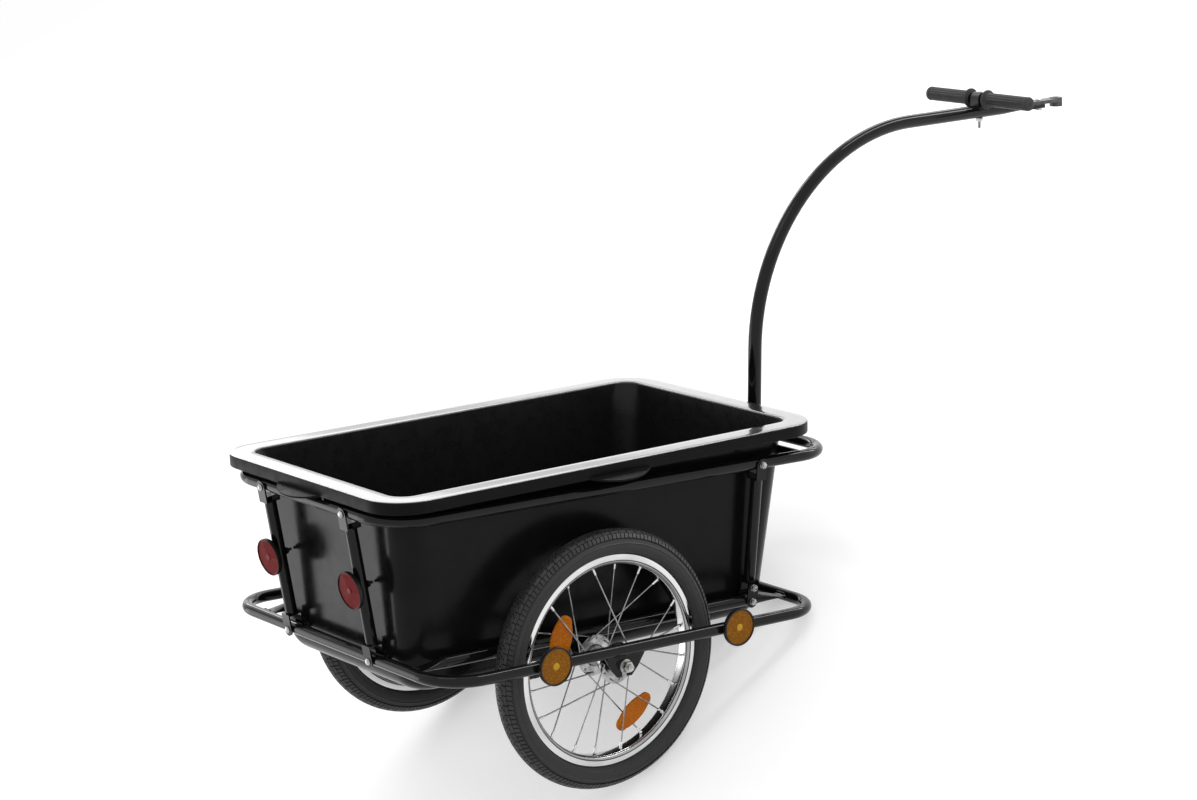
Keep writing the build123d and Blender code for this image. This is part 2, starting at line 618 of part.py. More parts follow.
def handle_grip(side):
    """A rubber grip with an inner flange and a closed end."""
    end = HANDLE_HALF + GRIP_CAP
    body = rod((0, side * GRIP_IN, 0), (0, side * end, 0), GRIP_R)
    body = fillet(body.edges().group_by(Axis.Y)[-1 if side > 0 else 0], 3.5)
    collar = rod((0, side * GRIP_IN, 0), (0, side * (GRIP_IN + GRIP_FLANGE_T), 0), GRIP_FLANGE_R)
    bore = rod((0, side * (GRIP_IN - 1.0), 0), (0, side * (HANDLE_HALF + 0.1), 0), HANDLE_BAR_R + 0.1)
    return on_handle() * (body + collar - bore)


def handle_clamp():
    """A saddle that sits on the drawbar and grips the cross bar."""
    low = -(HANDLE_BAR_R + HANDLE_RISE + 3.0)
    high = HANDLE_BAR_R + 4.0
    block = Pos(0, 0, (low + high) / 2) * Box(CLAMP_L, CLAMP_W, high - low)
    block = fillet(block.edges().filter_by(Axis.Y).group_by(Axis.Z)[-1], 9.0)
    bore = rod((0, -CLAMP_W, 0), (0, CLAMP_W, 0), HANDLE_BAR_R + 0.1)
    drop = -(HANDLE_BAR_R + HANDLE_RISE + DRAWBAR_R)
    bar = rod((-CLAMP_L, 0, drop), (CLAMP_L, 0, drop), DRAWBAR_R + 0.1)
    return on_handle() * (block - bore - bar)


def handle_bolt():
    """The nut and threaded end of the upright bolt below the drawbar."""
    nut = Pos(HANDLE_AT, 0, -DRAWBAR_R - 5.2) * extrude(RegularPolygon(6.5, 6), 5.0)
    tail = Pos(HANDLE_AT, 0, -DRAWBAR_R - 8.6) * Cylinder(3.0, 16.8)
    return RUN * (nut + tail)


def tongue():
    """The coupling tongue that lies on the flat end and carries the hitch eye in a boss."""
    top = -RUN_FLAT_DROP + SQUASHED_T / 2 + 0.1 + TONGUE_T
    length = TONGUE_BACK + TONGUE_AHEAD
    eye = RUN_END + TONGUE_AHEAD
    plate = Pos(eye - length / 2, 0, top - TONGUE_T / 2) * Box(length, TONGUE_W, TONGUE_T)
    boss = Pos(eye, 0, top + 1.0 - EYE_BOSS_H / 2) * Cylinder(EYE_BOSS_R, EYE_BOSS_H)
    hole = Pos(eye, 0, top + 1.0 - EYE_BOSS_H / 2) * Cylinder(HITCH_EYE_R, EYE_BOSS_H + 2.0)
    return RUN * (plate + boss - hole)


# ---------------------------------------------------------------- reflectors
def reflector(boss_l):
    """A round lens in a shallow cup, on a short boss; it faces +Z from the seat at Z = 0."""
    r = REFLECTOR_D / 2
    back = boss_l
    front = boss_l + REFLECTOR_T
    lens = front - REFLECTOR_RECESS
    points = [
        (0.0, back),
        (r - 3.0, back),
        (r, back + 3.0),
        (r, front),
        (r - REFLECTOR_RIM, front),
        (r - REFLECTOR_RIM, lens),
        (4.5, lens),
        (3.5, front),
        (0.0, front),
    ]
    if boss_l > 0:
        points = [(0.0, 0.0), (REFLECTOR_BOSS_D / 2, 0.0), (REFLECTOR_BOSS_D / 2, back)] + points[1:]
    return revolve(make_face(Plane.XZ * Polyline(*points, close=True)), Axis.Z)


def side_reflectors(side):
    """Two amber reflectors on the loop's side tube, facing out."""
    y = side * (LOOP_Y + TUBE_R + SEAT_GAP)
    found = []
    for x in SIDE_REFLECTORS_X:
        seat = Plane(origin=(x, y, SIDE_REFLECTOR_Z), z_dir=(0, side, 0))
        found.append(seat * reflector(SIDE_BOSS_L))
    return Compound(children=found)


def rear_reflectors():
    """A red reflector on each rear post, square to it."""
    found = []
    for side in (-1, 1):
        foot, head = bracket_planes(*rear_post_ends(side))
        back = foot.y_dir * out_sign(foot, (-1, 0, 0))
        up = (REAR_REFLECTORS_Z[side] - LOOP_Z) / foot.z_dir.Z
        seat = foot.origin + foot.z_dir * up + back * (TUBE_R + SEAT_GAP)
        found.append(Plane(origin=seat, z_dir=back) * reflector(REAR_BOSS_L))
    return Compound(children=found)


# ---------------------------------------------------------------- the whole trailer, level
solids = {
    "lower_loop_front": half_loop(LOOP_FRONT_X, 1),
    "lower_loop_rear": half_loop(LOOP_REAR_X, -1),
    "upper_hoop": upper_hoop(TUBE_R),
    "cross_tube": cross_tube(),
    "tub": tub(),
    "drawbar": drawbar(),
    "coupling_tongue": tongue(),
    "handle_bar": cross_rod(-HANDLE_HALF, HANDLE_HALF, HANDLE_BAR_R),
    "handle_clamp": handle_clamp(),
    "handle_bolt": handle_bolt(),
    "frame_bolts": frame_bolts(),
    "rear_reflectors": rear_reflectors(),
}
for name, side in WHEEL_SIDES.items():
    solids[f"tyre_{name}"] = tyre(side)
    solids[f"rim_{name}"] = rim(side)
    solids[f"hub_{name}"] = hub(side)
    solids[f"spokes_{name}"] = spokes(side)
    solids[f"spoke_reflectors_{name}"] = spoke_reflectors(side)
    solids[f"axle_{name}"] = axle(side)
    solids[f"inner_tube_{name}"] = inner_tube(side)
    solids[f"rear_post_{name}"] = bracketed_post(*rear_post_ends(side), BRACKET_REACH)
    solids[f"side_post_{name}"] = bracketed_post(*side_post_ends(side), LONG_REACH)
    solids[f"axle_plate_outer_{name}"] = axle_plate(side * LOOP_Y, LOOP_Z - TUBE_R - 0.1)
    solids[f"axle_plate_inner_{name}"] = axle_plate(side * INNER_Y, INNER_Z - TUBE_R - 0.1)
    solids[f"side_reflectors_{name}"] = side_reflectors(side)
    solids[f"handle_grip_{name}"] = handle_grip(side)


# ---------------------------------------------------------------- parked on the floor
def nose_down(x, z, radius):
    """How far the trailer tips before a rounded corner at (x, z) meets the floor, degrees."""
    lift = math.asin((TYRE_R - radius) / math.hypot(x, z))
    return math.degrees(lift + math.atan2(z, x))


tub_foot_x = front_wall_x(TUB_REAR_Z - TUB_DEPTH) - TUB_BOTTOM_R
tub_foot_z = TUB_REAR_Z + TUB_L * math.sin(TILT) - TUB_DEPTH + TUB_BOTTOM_R
NOSE_DOWN = min(nose_down(LOOP_FRONT_X, LOOP_Z, TUBE_R), nose_down(tub_foot_x, tub_foot_z, TUB_BOTTOM_R))
PARK = Pos(0, 0, TYRE_R) * Rot(0, NOSE_DOWN, 0)
parked = {name: PARK * solid for name, solid in solids.items()}
boxes = [solid.bounding_box() for solid in parked.values()]
low_x = min(box.min.X for box in boxes)
high_x = max(box.max.X for box in boxes)
SHIFT_X = -(low_x + high_x) / 2

os.makedirs("parts", exist_ok=True)
for name, solid in parked.items():
    export_step(Pos(SHIFT_X, 0, 0) * solid, f"parts/{name}.step")

eye_n = -RUN_FLAT_DROP + SQUASHED_T / 2 + 0.1 + TONGUE_T + 1.0 - EYE_BOSS_H / 2
eye = RUN_START + RUN_DIR * (RUN_END + TONGUE_AHEAD) + RUN_UP * eye_n
eye = (Pos(SHIFT_X, 0, 0) * PARK * Pos(eye.X, 0, eye.Z)).position
print("nose down", NOSE_DOWN, "degrees; axle at", SHIFT_X, 0, TYRE_R)
print("outline", low_x + SHIFT_X, high_x + SHIFT_X, "lowest", min(box.min.Z for box in boxes))
print("hitch eye at", eye.X, eye.Y, eye.Z, "leaning", NOSE_DOWN - DRAWBAR_RISE)
print("wheels at", WHEEL_Y)
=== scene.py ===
"""Looks for the bicycle trailer: finishes, tyres, spokes' ends, fasteners, reflectors, handle and studio.

Sizes are metres. Pieces are drawn as the trailer stands level, X forward, Y left and Z up from the
middle of the axle line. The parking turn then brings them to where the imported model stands, nose down
on the floor.
"""
import json
import logging
import math
import random
from dataclasses import dataclass, field
from enum import Enum

import bmesh
import bpy
from mathutils import Matrix, Vector


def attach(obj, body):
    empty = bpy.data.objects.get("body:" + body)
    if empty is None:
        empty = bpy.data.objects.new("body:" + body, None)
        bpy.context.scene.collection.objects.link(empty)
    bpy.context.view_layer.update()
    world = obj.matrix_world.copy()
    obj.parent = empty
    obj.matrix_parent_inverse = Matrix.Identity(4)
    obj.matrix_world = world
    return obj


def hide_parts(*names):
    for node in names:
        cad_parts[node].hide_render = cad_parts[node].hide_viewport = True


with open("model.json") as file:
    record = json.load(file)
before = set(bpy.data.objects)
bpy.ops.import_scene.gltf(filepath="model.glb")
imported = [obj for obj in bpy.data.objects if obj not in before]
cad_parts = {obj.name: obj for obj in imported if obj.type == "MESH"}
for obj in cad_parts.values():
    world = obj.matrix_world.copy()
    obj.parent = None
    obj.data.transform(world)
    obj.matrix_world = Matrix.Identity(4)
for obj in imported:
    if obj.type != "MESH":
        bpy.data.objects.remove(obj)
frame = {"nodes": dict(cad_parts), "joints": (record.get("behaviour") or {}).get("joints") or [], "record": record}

LOG = logging.getLogger("trailer")
MM = 0.001
WELD = 0.002 * MM
Color = tuple[float, float, float]
Profile = list[tuple[float, float]]


class Body(Enum):
    """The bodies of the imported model."""

    TRAILER = "trailer"
    WHEEL_RIGHT = "wheel_right"
    WHEEL_LEFT = "wheel_left"


class Side(Enum):
    """A side of the trailer, with the sign of its Y."""

    RIGHT = -1
    LEFT = 1

    @property
    def word(self) -> str:
        """The side as it ends a node's name."""
        return self.name.lower()

    @property
    def wheel(self) -> Body:
        """The body of this side's wheel."""
        return Body[f"WHEEL_{self.name}"]


# ---------------------------------------------------------------- where things stand
@dataclass(frozen=True)
class Layout:
    """The trailer's main sizes as it stands level, from the axle line."""

    tube_r: float = 9.0 * MM
    seat_gap: float = 0.3 * MM
    tub_length: float = 798.0 * MM
    tub_width: float = 478.0 * MM
    tub_rear_x: float = -369.5 * MM
    tub_rear_z: float = 279.5 * MM
    tub_tilt: float = math.radians(1.65)
    hoop_y: float = 219.5 * MM
    hoop_z: float = 247.5 * MM
    hoop_rear_x: float = -356.5 * MM
    hoop_front_x: float = 469.97 * MM
    loop_rear_x: float = -314.5 * MM
    loop_front_x: float = 386.5 * MM
    loop_y: float = 288.0 * MM
    loop_z: float = 24.5 * MM
    inner_y: float = 199.0 * MM
    inner_z: float = 30.0 * MM
    wheel_y: float = 243.5 * MM
    rear_post_y: float = 108.0 * MM
    side_post_x: float = 310.0 * MM
    drawbar_r: float = 11.0 * MM
    drawbar_rise: float = math.radians(2.4)
    drawbar_bend_r: float = 342.0 * MM
    drawbar_bend_z: float = 372.0 * MM
    run_length: float = 309.0 * MM

    @property
    def drawbar_x(self) -> float:
        """Centre line of the upright part of the drawbar."""
        return self.hoop_front_x + self.tube_r + self.seat_gap + self.drawbar_r

    @property
    def run(self) -> Matrix:
        """The frame of the drawbar's straight run: X along it, Z square to it.

        Returns:
            Its matrix in the level drawing.
        """
        swept = math.pi / 2 - self.drawbar_rise
        start = Vector((
            self.drawbar_x + self.drawbar_bend_r * (1 - math.cos(swept)),
            0.0,
            self.drawbar_bend_z + self.drawbar_bend_r * math.sin(swept),
        ))
        return Matrix.Translation(start) @ Matrix.Rotation(-self.drawbar_rise, 4, "Y")


LAYOUT = Layout()


def parking_turn() -> Matrix:
    """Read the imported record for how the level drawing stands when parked.

    Returns:
        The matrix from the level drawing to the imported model.
    """
    axle = frame["joints"][0]["pos_m"]
    eye_axis = frame["record"]["mounts"][0]["axis"]
    nose_down = math.atan2(eye_axis[0], eye_axis[2]) + LAYOUT.drawbar_rise
    return Matrix.Translation((axle[0], 0.0, axle[2])) @ Matrix.Rotation(nose_down, 4, "Y")


PARKED = parking_turn()


def facing(origin: Vector, z_dir: Vector, x_dir: Vector | None = None) -> Matrix:
    """Make a frame from its origin and two directions.

    Args:
        origin: Where the frame stands.
        z_dir: Its Z direction, of any length.
        x_dir: Roughly its X direction, or None where it doesn't matter.

    Returns:
        The frame's matrix.
    """
    z = z_dir.normalized()
    guide = x_dir if x_dir is not None else (Vector((1, 0, 0)) if abs(z.x) < 0.9 else Vector((0, 1, 0)))
    y = z.cross(guide).normalized()
    x = y.cross(z)
    turn = Matrix((x, y, z)).transposed().to_4x4()
    return Matrix.Translation(origin) @ turn


# ---------------------------------------------------------------- finishes
class Surface:
    """A Principled surface and the nodes that vary it."""

    def __init__(self, name: str) -> None:
        """Start a surface.

        Args:
            name: The material's name.
        """
        self.material = bpy.data.materials.new(name)
        self.material.use_nodes = True
        self.tree = self.material.node_tree
        self.shader = self.tree.nodes["Principled BSDF"]
        self._place: bpy.types.NodeSocket | None = None
        self._bump: bpy.types.NodeSocket | None = None

    def place(self) -> bpy.types.NodeSocket:
        """The position on the piece in the level drawing's directions.

        Returns:
            The position, in metres.
        """
        if self._place is None:
            where = self.tree.nodes.new("ShaderNodeTexCoord")
            turn = self.tree.nodes.new("ShaderNodeMapping")
            turn.vector_type = "POINT"
            turn.inputs["Rotation"].default_value = PARKED.inverted().to_euler()
            self.tree.links.new(where.outputs["Object"], turn.inputs["Vector"])
            turn.inputs["Location"].default_value = PARKED.inverted().translation
            self._place = turn.outputs["Vector"]
        return self._place

    def stretched(self, stretch: Color) -> bpy.types.NodeSocket:
        """Scale the position along each axis.

        Args:
            stretch: The factors along X, Y and Z.

        Returns:
            The scaled position.
        """
        scaler = self.tree.nodes.new("ShaderNodeMapping")
        scaler.inputs["Scale"].default_value = stretch
        self.tree.links.new(self.place(), scaler.inputs["Vector"])
        return scaler.outputs["Vector"]

    def clouds(self, scale: float, detail: float = 3.0, stretch: Color = (1, 1, 1)) -> bpy.types.NodeSocket:
        """Add soft noise.

        Args:
            scale: How many features there are to a metre.
            detail: How many finer layers it has.
            stretch: Factors along X, Y and Z that draw it out into streaks.

        Returns:
            The noise, from 0 to 1.
        """
        texture = self.tree.nodes.new("ShaderNodeTexNoise")
        texture.inputs["Scale"].default_value = scale
        texture.inputs["Detail"].default_value = detail
        self.tree.links.new(self.stretched(stretch), texture.inputs["Vector"])
        return texture.outputs["Fac"]

    def height(self) -> bpy.types.NodeSocket:
        """The height on the level trailer.

        Returns:
            The height above the axle line, in metres.
        """
        split = self.tree.nodes.new("ShaderNodeSeparateXYZ")
        self.tree.links.new(self.place(), split.inputs["Vector"])
        return split.outputs["Z"]

    def cells(self, scale: float) -> bpy.types.NodeSocket:
        """Add a cell pattern whose cells each have one value.

        Args:
            scale: How many cells there are to a metre.

        Returns:
            Each cell's value, from 0 to 1.
        """
        texture = self.tree.nodes.new("ShaderNodeTexVoronoi")
        texture.inputs["Scale"].default_value = scale
        self.tree.links.new(self.place(), texture.inputs["Vector"])
        split = self.tree.nodes.new("ShaderNodeSeparateColor")
        self.tree.links.new(texture.outputs["Color"], split.inputs["Color"])
        return split.outputs["Red"]

    def spread(
        self, source: bpy.types.NodeSocket, span: tuple[float, float], to: tuple[float, float]
    ) -> bpy.types.NodeSocket:
        """Map a span of a value to another, and hold it there.

        Args:
            source: The value.
            span: Where it starts and ends.
            to: What it becomes there.

        Returns:
            The mapped value.
        """
        mapper = self.tree.nodes.new("ShaderNodeMapRange")
        mapper.inputs["From Min"].default_value, mapper.inputs["From Max"].default_value = span
        mapper.inputs["To Min"].default_value, mapper.inputs["To Max"].default_value = to
        self.tree.links.new(source, mapper.inputs["Value"])
        return mapper.outputs["Result"]

    def multiplied(self, a: bpy.types.NodeSocket, b: bpy.types.NodeSocket) -> bpy.types.NodeSocket:
        """The product of two values.

        Args:
            a: The first value.
            b: The second value.

        Returns:
            Their product.
        """
        product = self.tree.nodes.new("ShaderNodeMath")
        product.operation = "MULTIPLY"
        self.tree.links.new(a, product.inputs[0])
        self.tree.links.new(b, product.inputs[1])
        return product.outputs["Value"]

    def mixed(
        self, share: bpy.types.NodeSocket, a: Color | bpy.types.NodeSocket, b: Color
    ) -> bpy.types.NodeSocket:
        """Mix two colours.

        Args:
            share: How much of the second colour there is.
            a: The first colour, or a socket that has it.
            b: The second colour.

        Returns:
            The mixed colour.
        """
        mixer = self.tree.nodes.new("ShaderNodeMix")
        mixer.data_type = "RGBA"
        self.tree.links.new(share, mixer.inputs["Factor"])
        if isinstance(a, bpy.types.NodeSocket):
            self.tree.links.new(a, mixer.inputs[6])
        else:
            mixer.inputs[6].default_value = (*a, 1.0)
        mixer.inputs[7].default_value = (*b, 1.0)
        return mixer.outputs[2]

    def feed(self, socket: str, source: bpy.types.NodeSocket) -> None:
        """Connect a value to one of the shader's sockets."""
        self.tree.links.new(source, self.shader.inputs[socket])

    def relief(self, source: bpy.types.NodeSocket, strength: float, depth: float) -> None:
        """Add fine relief to the shading.

        Args:
            source: The height, from 0 to 1.
            strength: How much of it shows.
            depth: The height's real depth in metres.
        """
        bump = self.tree.nodes.new("ShaderNodeBump")
        bump.inputs["Strength"].default_value = strength
        bump.inputs["Distance"].default_value = depth
        self.tree.links.new(source, bump.inputs["Height"])
        if self._bump is not None:
            self.tree.links.new(self._bump, bump.inputs["Normal"])
        self._bump = bump.outputs["Normal"]
        self.tree.links.new(self._bump, self.shader.inputs["Normal"])


@dataclass(frozen=True)
class Finish:
    """A finish with patches of a second colour and roughness, and a fine grain."""

    name: str
    slot: str
    color: Color
    patch_color: Color
    roughness: tuple[float, float] = (0.3, 0.4)
    metallic: float = 0.0
    specular: float = 0.5
    coat: float = 0.0
    patch_scale: float = 25.0
    grain_scale: float = 900.0
    grain: float = 0.1
    grain_depth: float = 0.05 * MM
    coat_roughness: float = 0.06
    patch_span: tuple[float, float] = (0.38, 0.66)
    smudge_span: tuple[float, float] = (0.3, 0.7)

    def material(self) -> bpy.types.Material:
        """The finish's material, made when it is first asked for."""
        found = bpy.data.materials.get(self.name)
        return found if found else self.build().material

    def build(self) -> Surface:
        """Make the finish's nodes.

        Returns:
            The finished surface.
        """
        surface = Surface(self.name)
        shader = surface.shader.inputs
        shader["Metallic"].default_value = self.metallic
        shader["Specular IOR Level"].default_value = self.specular
        shader["Coat Weight"].default_value = self.coat
        shader["Coat Roughness"].default_value = self.coat_roughness
        patches = surface.clouds(self.patch_scale, 4.0)
        share = surface.spread(patches, self.patch_span, (0.0, 1.0))
        surface.feed("Base Color", surface.mixed(share, self.color, self.patch_color))
        smudges = surface.clouds(self.patch_scale * 2.3, 3.0)
        surface.feed("Roughness", surface.spread(smudges, self.smudge_span, self.roughness))
        surface.relief(surface.clouds(self.grain_scale, 2.0), self.grain, self.grain_depth)
        return surface


@dataclass(frozen=True)
class MouldedPlastic(Finish):
    """Moulded plastic with slow waves, and rubbed streaks where it is used."""

    streak_color: Color = (0.03, 0.03, 0.031)
    streaks: float = 0.0
    waves: float = 0.25

    def build(self) -> Surface:
        """Make the plastic's nodes.

        Returns:
            The finished surface.
        """
        surface = super().build()
        surface.relief(surface.clouds(7.0, 1.0), self.waves, 3.0 * MM)
        if self.streaks > 0.0:
            lines = surface.spread(surface.clouds(260.0, 3.0, (0.04, 0.04, 1.0)), (0.6, 0.75), (0.0, 0.6))
            scuffs = surface.spread(surface.clouds(420.0, 2.0, (1.0, 1.0, 0.05)), (0.58, 0.75), (0.0, 0.5))
            high = surface.spread(surface.height(), (0.1, 0.27), (0.15, 1.0))
            where = surface.multiplied(
                high, surface.spread(surface.clouds(3.0, 2.0), (0.3, 0.75), (0.0, self.streaks))
            )
            base = surface.mixed(surface.multiplied(lines, where), self.color, self.streak_color)
            surface.feed(
                "Base Color", surface.mixed(surface.multiplied(scuffs, where), base, self.streak_color)
            )
        return surface


@dataclass(frozen=True)
class PrismPlastic(Finish):
    """Clear coloured plastic over small mirrors, with painted glints: some cells are mixed towards a brighter
    colour.
    """

    bright_color: Color = (0.9, 0.5, 0.1)
    cell_scale: float = 620.0

    def build(self) -> Surface:
        """Make the lens's nodes.

        Returns:
            The finished surface.
        """
        surface = super().build()
        # Painted glints: the brighter cells stand in for light flashing off the prisms.
        cells = surface.spread(surface.cells(self.cell_scale), (0.6, 1.0), (0.0, 0.6))
        surface.feed("Base Color", surface.mixed(cells, self.color, self.bright_color))
        return surface


@dataclass(frozen=True)
class TurnedMetal(Finish):
    """Bright metal with fine rings or draw lines."""

    line_stretch: Color = (1.0, 40.0, 1.0)
    line_scale: float = 40.0
    lines: float = 0.12

    def build(self) -> Surface:
        """Make the metal's nodes.

        Returns:
            The finished surface.
        """
        surface = super().build()
        drawn = surface.clouds(self.line_scale, 3.0, self.line_stretch)
        surface.relief(drawn, self.lines, 0.05 * MM)
        return surface


class Finishes:
    """The trailer's finishes."""

    PAINT = Finish(
        "black_gloss_paint", "black_paint", (0.004, 0.004, 0.0043), (0.007, 0.007, 0.0075), (0.05, 0.1),
        specular=0.22, grain_scale=700.0, grain=0.12, grain_depth=0.03 * MM,
    )
    TUB_OUTSIDE = MouldedPlastic(
        "tub_outside", "tub_plastic", (0.0048, 0.0047, 0.0048), (0.0066, 0.0065, 0.0066), (0.18, 0.25),
        specular=0.1, grain_scale=1400.0, grain=0.15, grain_depth=0.02 * MM,
    )
    TUB_LIP = MouldedPlastic(
        "tub_lip", "tub_plastic", (0.0048, 0.0047, 0.0048), (0.0075, 0.0074, 0.0075), (0.34, 0.48),
        specular=0.07, grain_scale=1400.0, grain=0.35, grain_depth=0.04 * MM, streaks=0.5,
    )
    TUB_INSIDE = MouldedPlastic(
        "tub_inside", "tub_plastic", (0.0068, 0.0068, 0.007), (0.0105, 0.0105, 0.011), (0.24, 0.34),
        specular=0.2, grain_scale=1400.0, grain=0.3, grain_depth=0.03 * MM, streaks=0.35,
    )
    TUB_RIM = MouldedPlastic(
        "tub_rim", "tub_plastic", (0.0075, 0.0075, 0.008), (0.013, 0.013, 0.0135), (0.14, 0.24),
        specular=0.55, coat=1.0, grain_scale=1000.0, grain=0.1, grain_depth=0.02 * MM, waves=0.1,
    )
    RUBBER = Finish(
        "tyre_rubber", "tyre_rubber", (0.0036, 0.0035, 0.0034), (0.0058, 0.0057, 0.0056), (0.4, 0.55),
        specular=0.06, patch_scale=60.0, grain_scale=1500.0, grain=0.35, grain_depth=0.08 * MM,
    )
    # The tread rubber is the tyre's rubber painted about five times lighter: a painted sheen on the tread blocks
    # and the fine sidewall rings.
    TREAD = Finish(
        "tyre_tread", "tyre_rubber", (0.02, 0.0197, 0.0193), (0.033, 0.0326, 0.032), (0.34, 0.5),
        specular=0.3, patch_scale=60.0, grain_scale=1500.0, grain=0.3, grain_depth=0.06 * MM,
    )
    GRIP = Finish(
        "grip_rubber", "grip_rubber", (0.0035, 0.0035, 0.0038), (0.006, 0.006, 0.0064), (0.3, 0.42),
        specular=0.15, grain_scale=1800.0, grain=0.2, grain_depth=0.05 * MM,
    )
    # The bumps are the grip's rubber painted about six times lighter: a painted highlight on their tops, with the
    # gaps between them left dark.
    GRIP_BUMP = Finish(
        "grip_bumps_painted_highlight", "grip_rubber", (0.02, 0.02, 0.021), (0.035, 0.035, 0.036), (0.14, 0.24), specular=0.4,
    )
    CHROME = TurnedMetal(
        "bright_chrome", "chrome", (0.74, 0.74, 0.745), (0.58, 0.58, 0.58), (0.07, 0.16), metallic=1.0,
        patch_scale=12.0, grain=0.03, line_stretch=(1.0, 1.0, 1.0), line_scale=160.0, lines=0.04,
    )
    # A darker copy of the bright chrome for the rim's shoulders and well: painted shade on the same plating.
    CHROME_WELL = TurnedMetal(
        "chrome_well", "chrome", (0.4, 0.4, 0.405), (0.26, 0.26, 0.265), (0.1, 0.2), metallic=1.0,
        patch_scale=16.0, grain=0.03, line_stretch=(1.0, 1.0, 1.0), line_scale=160.0, lines=0.05,
    )
    # A near-black copy of the chrome in the rim's grooves: painted shade.
    CHROME_GROOVE = Finish(
        "chrome_groove", "chrome", (0.06, 0.06, 0.062), (0.11, 0.11, 0.112), (0.3, 0.5), metallic=1.0,
    )
    SPOKE = TurnedMetal(
        "spoke_wire", "chrome", (0.34, 0.34, 0.34), (0.2, 0.2, 0.205), (0.16, 0.28), metallic=1.0,
        patch_scale=80.0, grain=0.06, line_stretch=(1.0, 1.0, 1.0), line_scale=300.0, lines=0.05,
    )
    HUB = TurnedMetal(
        "hub_chrome", "hub_metal", (0.5, 0.5, 0.51), (0.24, 0.24, 0.245), (0.12, 0.24), metallic=1.0,
        patch_scale=60.0, grain=0.05, line_stretch=(0.05, 30.0, 0.05), line_scale=60.0, lines=0.35,
    )
    ZINC = TurnedMetal(
        "zinc_plate", "zinc_steel", (0.52, 0.52, 0.505), (0.3, 0.3, 0.295), (0.24, 0.42), metallic=1.0,
        patch_scale=150.0, grain=0.12, line_stretch=(1.0, 1.0, 1.0), line_scale=500.0, lines=0.1,
    )
    TONGUE = TurnedMetal(
        "tongue_steel", "black_paint", (0.085, 0.085, 0.085), (0.05, 0.05, 0.05), (0.3, 0.45), metallic=1.0,
        patch_scale=120.0, grain=0.15, line_stretch=(1.0, 8.0, 1.0), line_scale=220.0, lines=0.2,
    )
    AMBER = PrismPlastic(
        "amber_lens", "amber_reflector", (0.25, 0.09, 0.0015), (0.19, 0.066, 0.0015), (0.16, 0.26),
        specular=0.15, grain=0.1, bright_color=(0.5, 0.22, 0.008),
    )
    AMBER_BOSS = Finish(
        "amber_boss", "amber_reflector", (0.62, 0.34, 0.004), (0.5, 0.26, 0.004), (0.15, 0.25), specular=0.3,
    )
    ORANGE = PrismPlastic(
        "orange_lens", "amber_reflector", (0.5, 0.13, 0.001), (0.4, 0.09, 0.001), (0.14, 0.24),
        specular=0.15, grain=0.1, bright_color=(0.66, 0.22, 0.003), cell_scale=480.0,
    )
    RED = PrismPlastic(
        "red_lens", "red_reflector", (0.15, 0.009, 0.01), (0.07, 0.005, 0.006), (0.28, 0.4),
        specular=0.08, grain=0.1, bright_color=(0.25, 0.022, 0.022),
    )
    HOUSING = Finish(
        "black_housing", "black_paint", (0.006, 0.006, 0.006), (0.01, 0.01, 0.01), (0.28, 0.4), specular=0.25,
        grain_scale=1500.0, grain=0.15,
    )


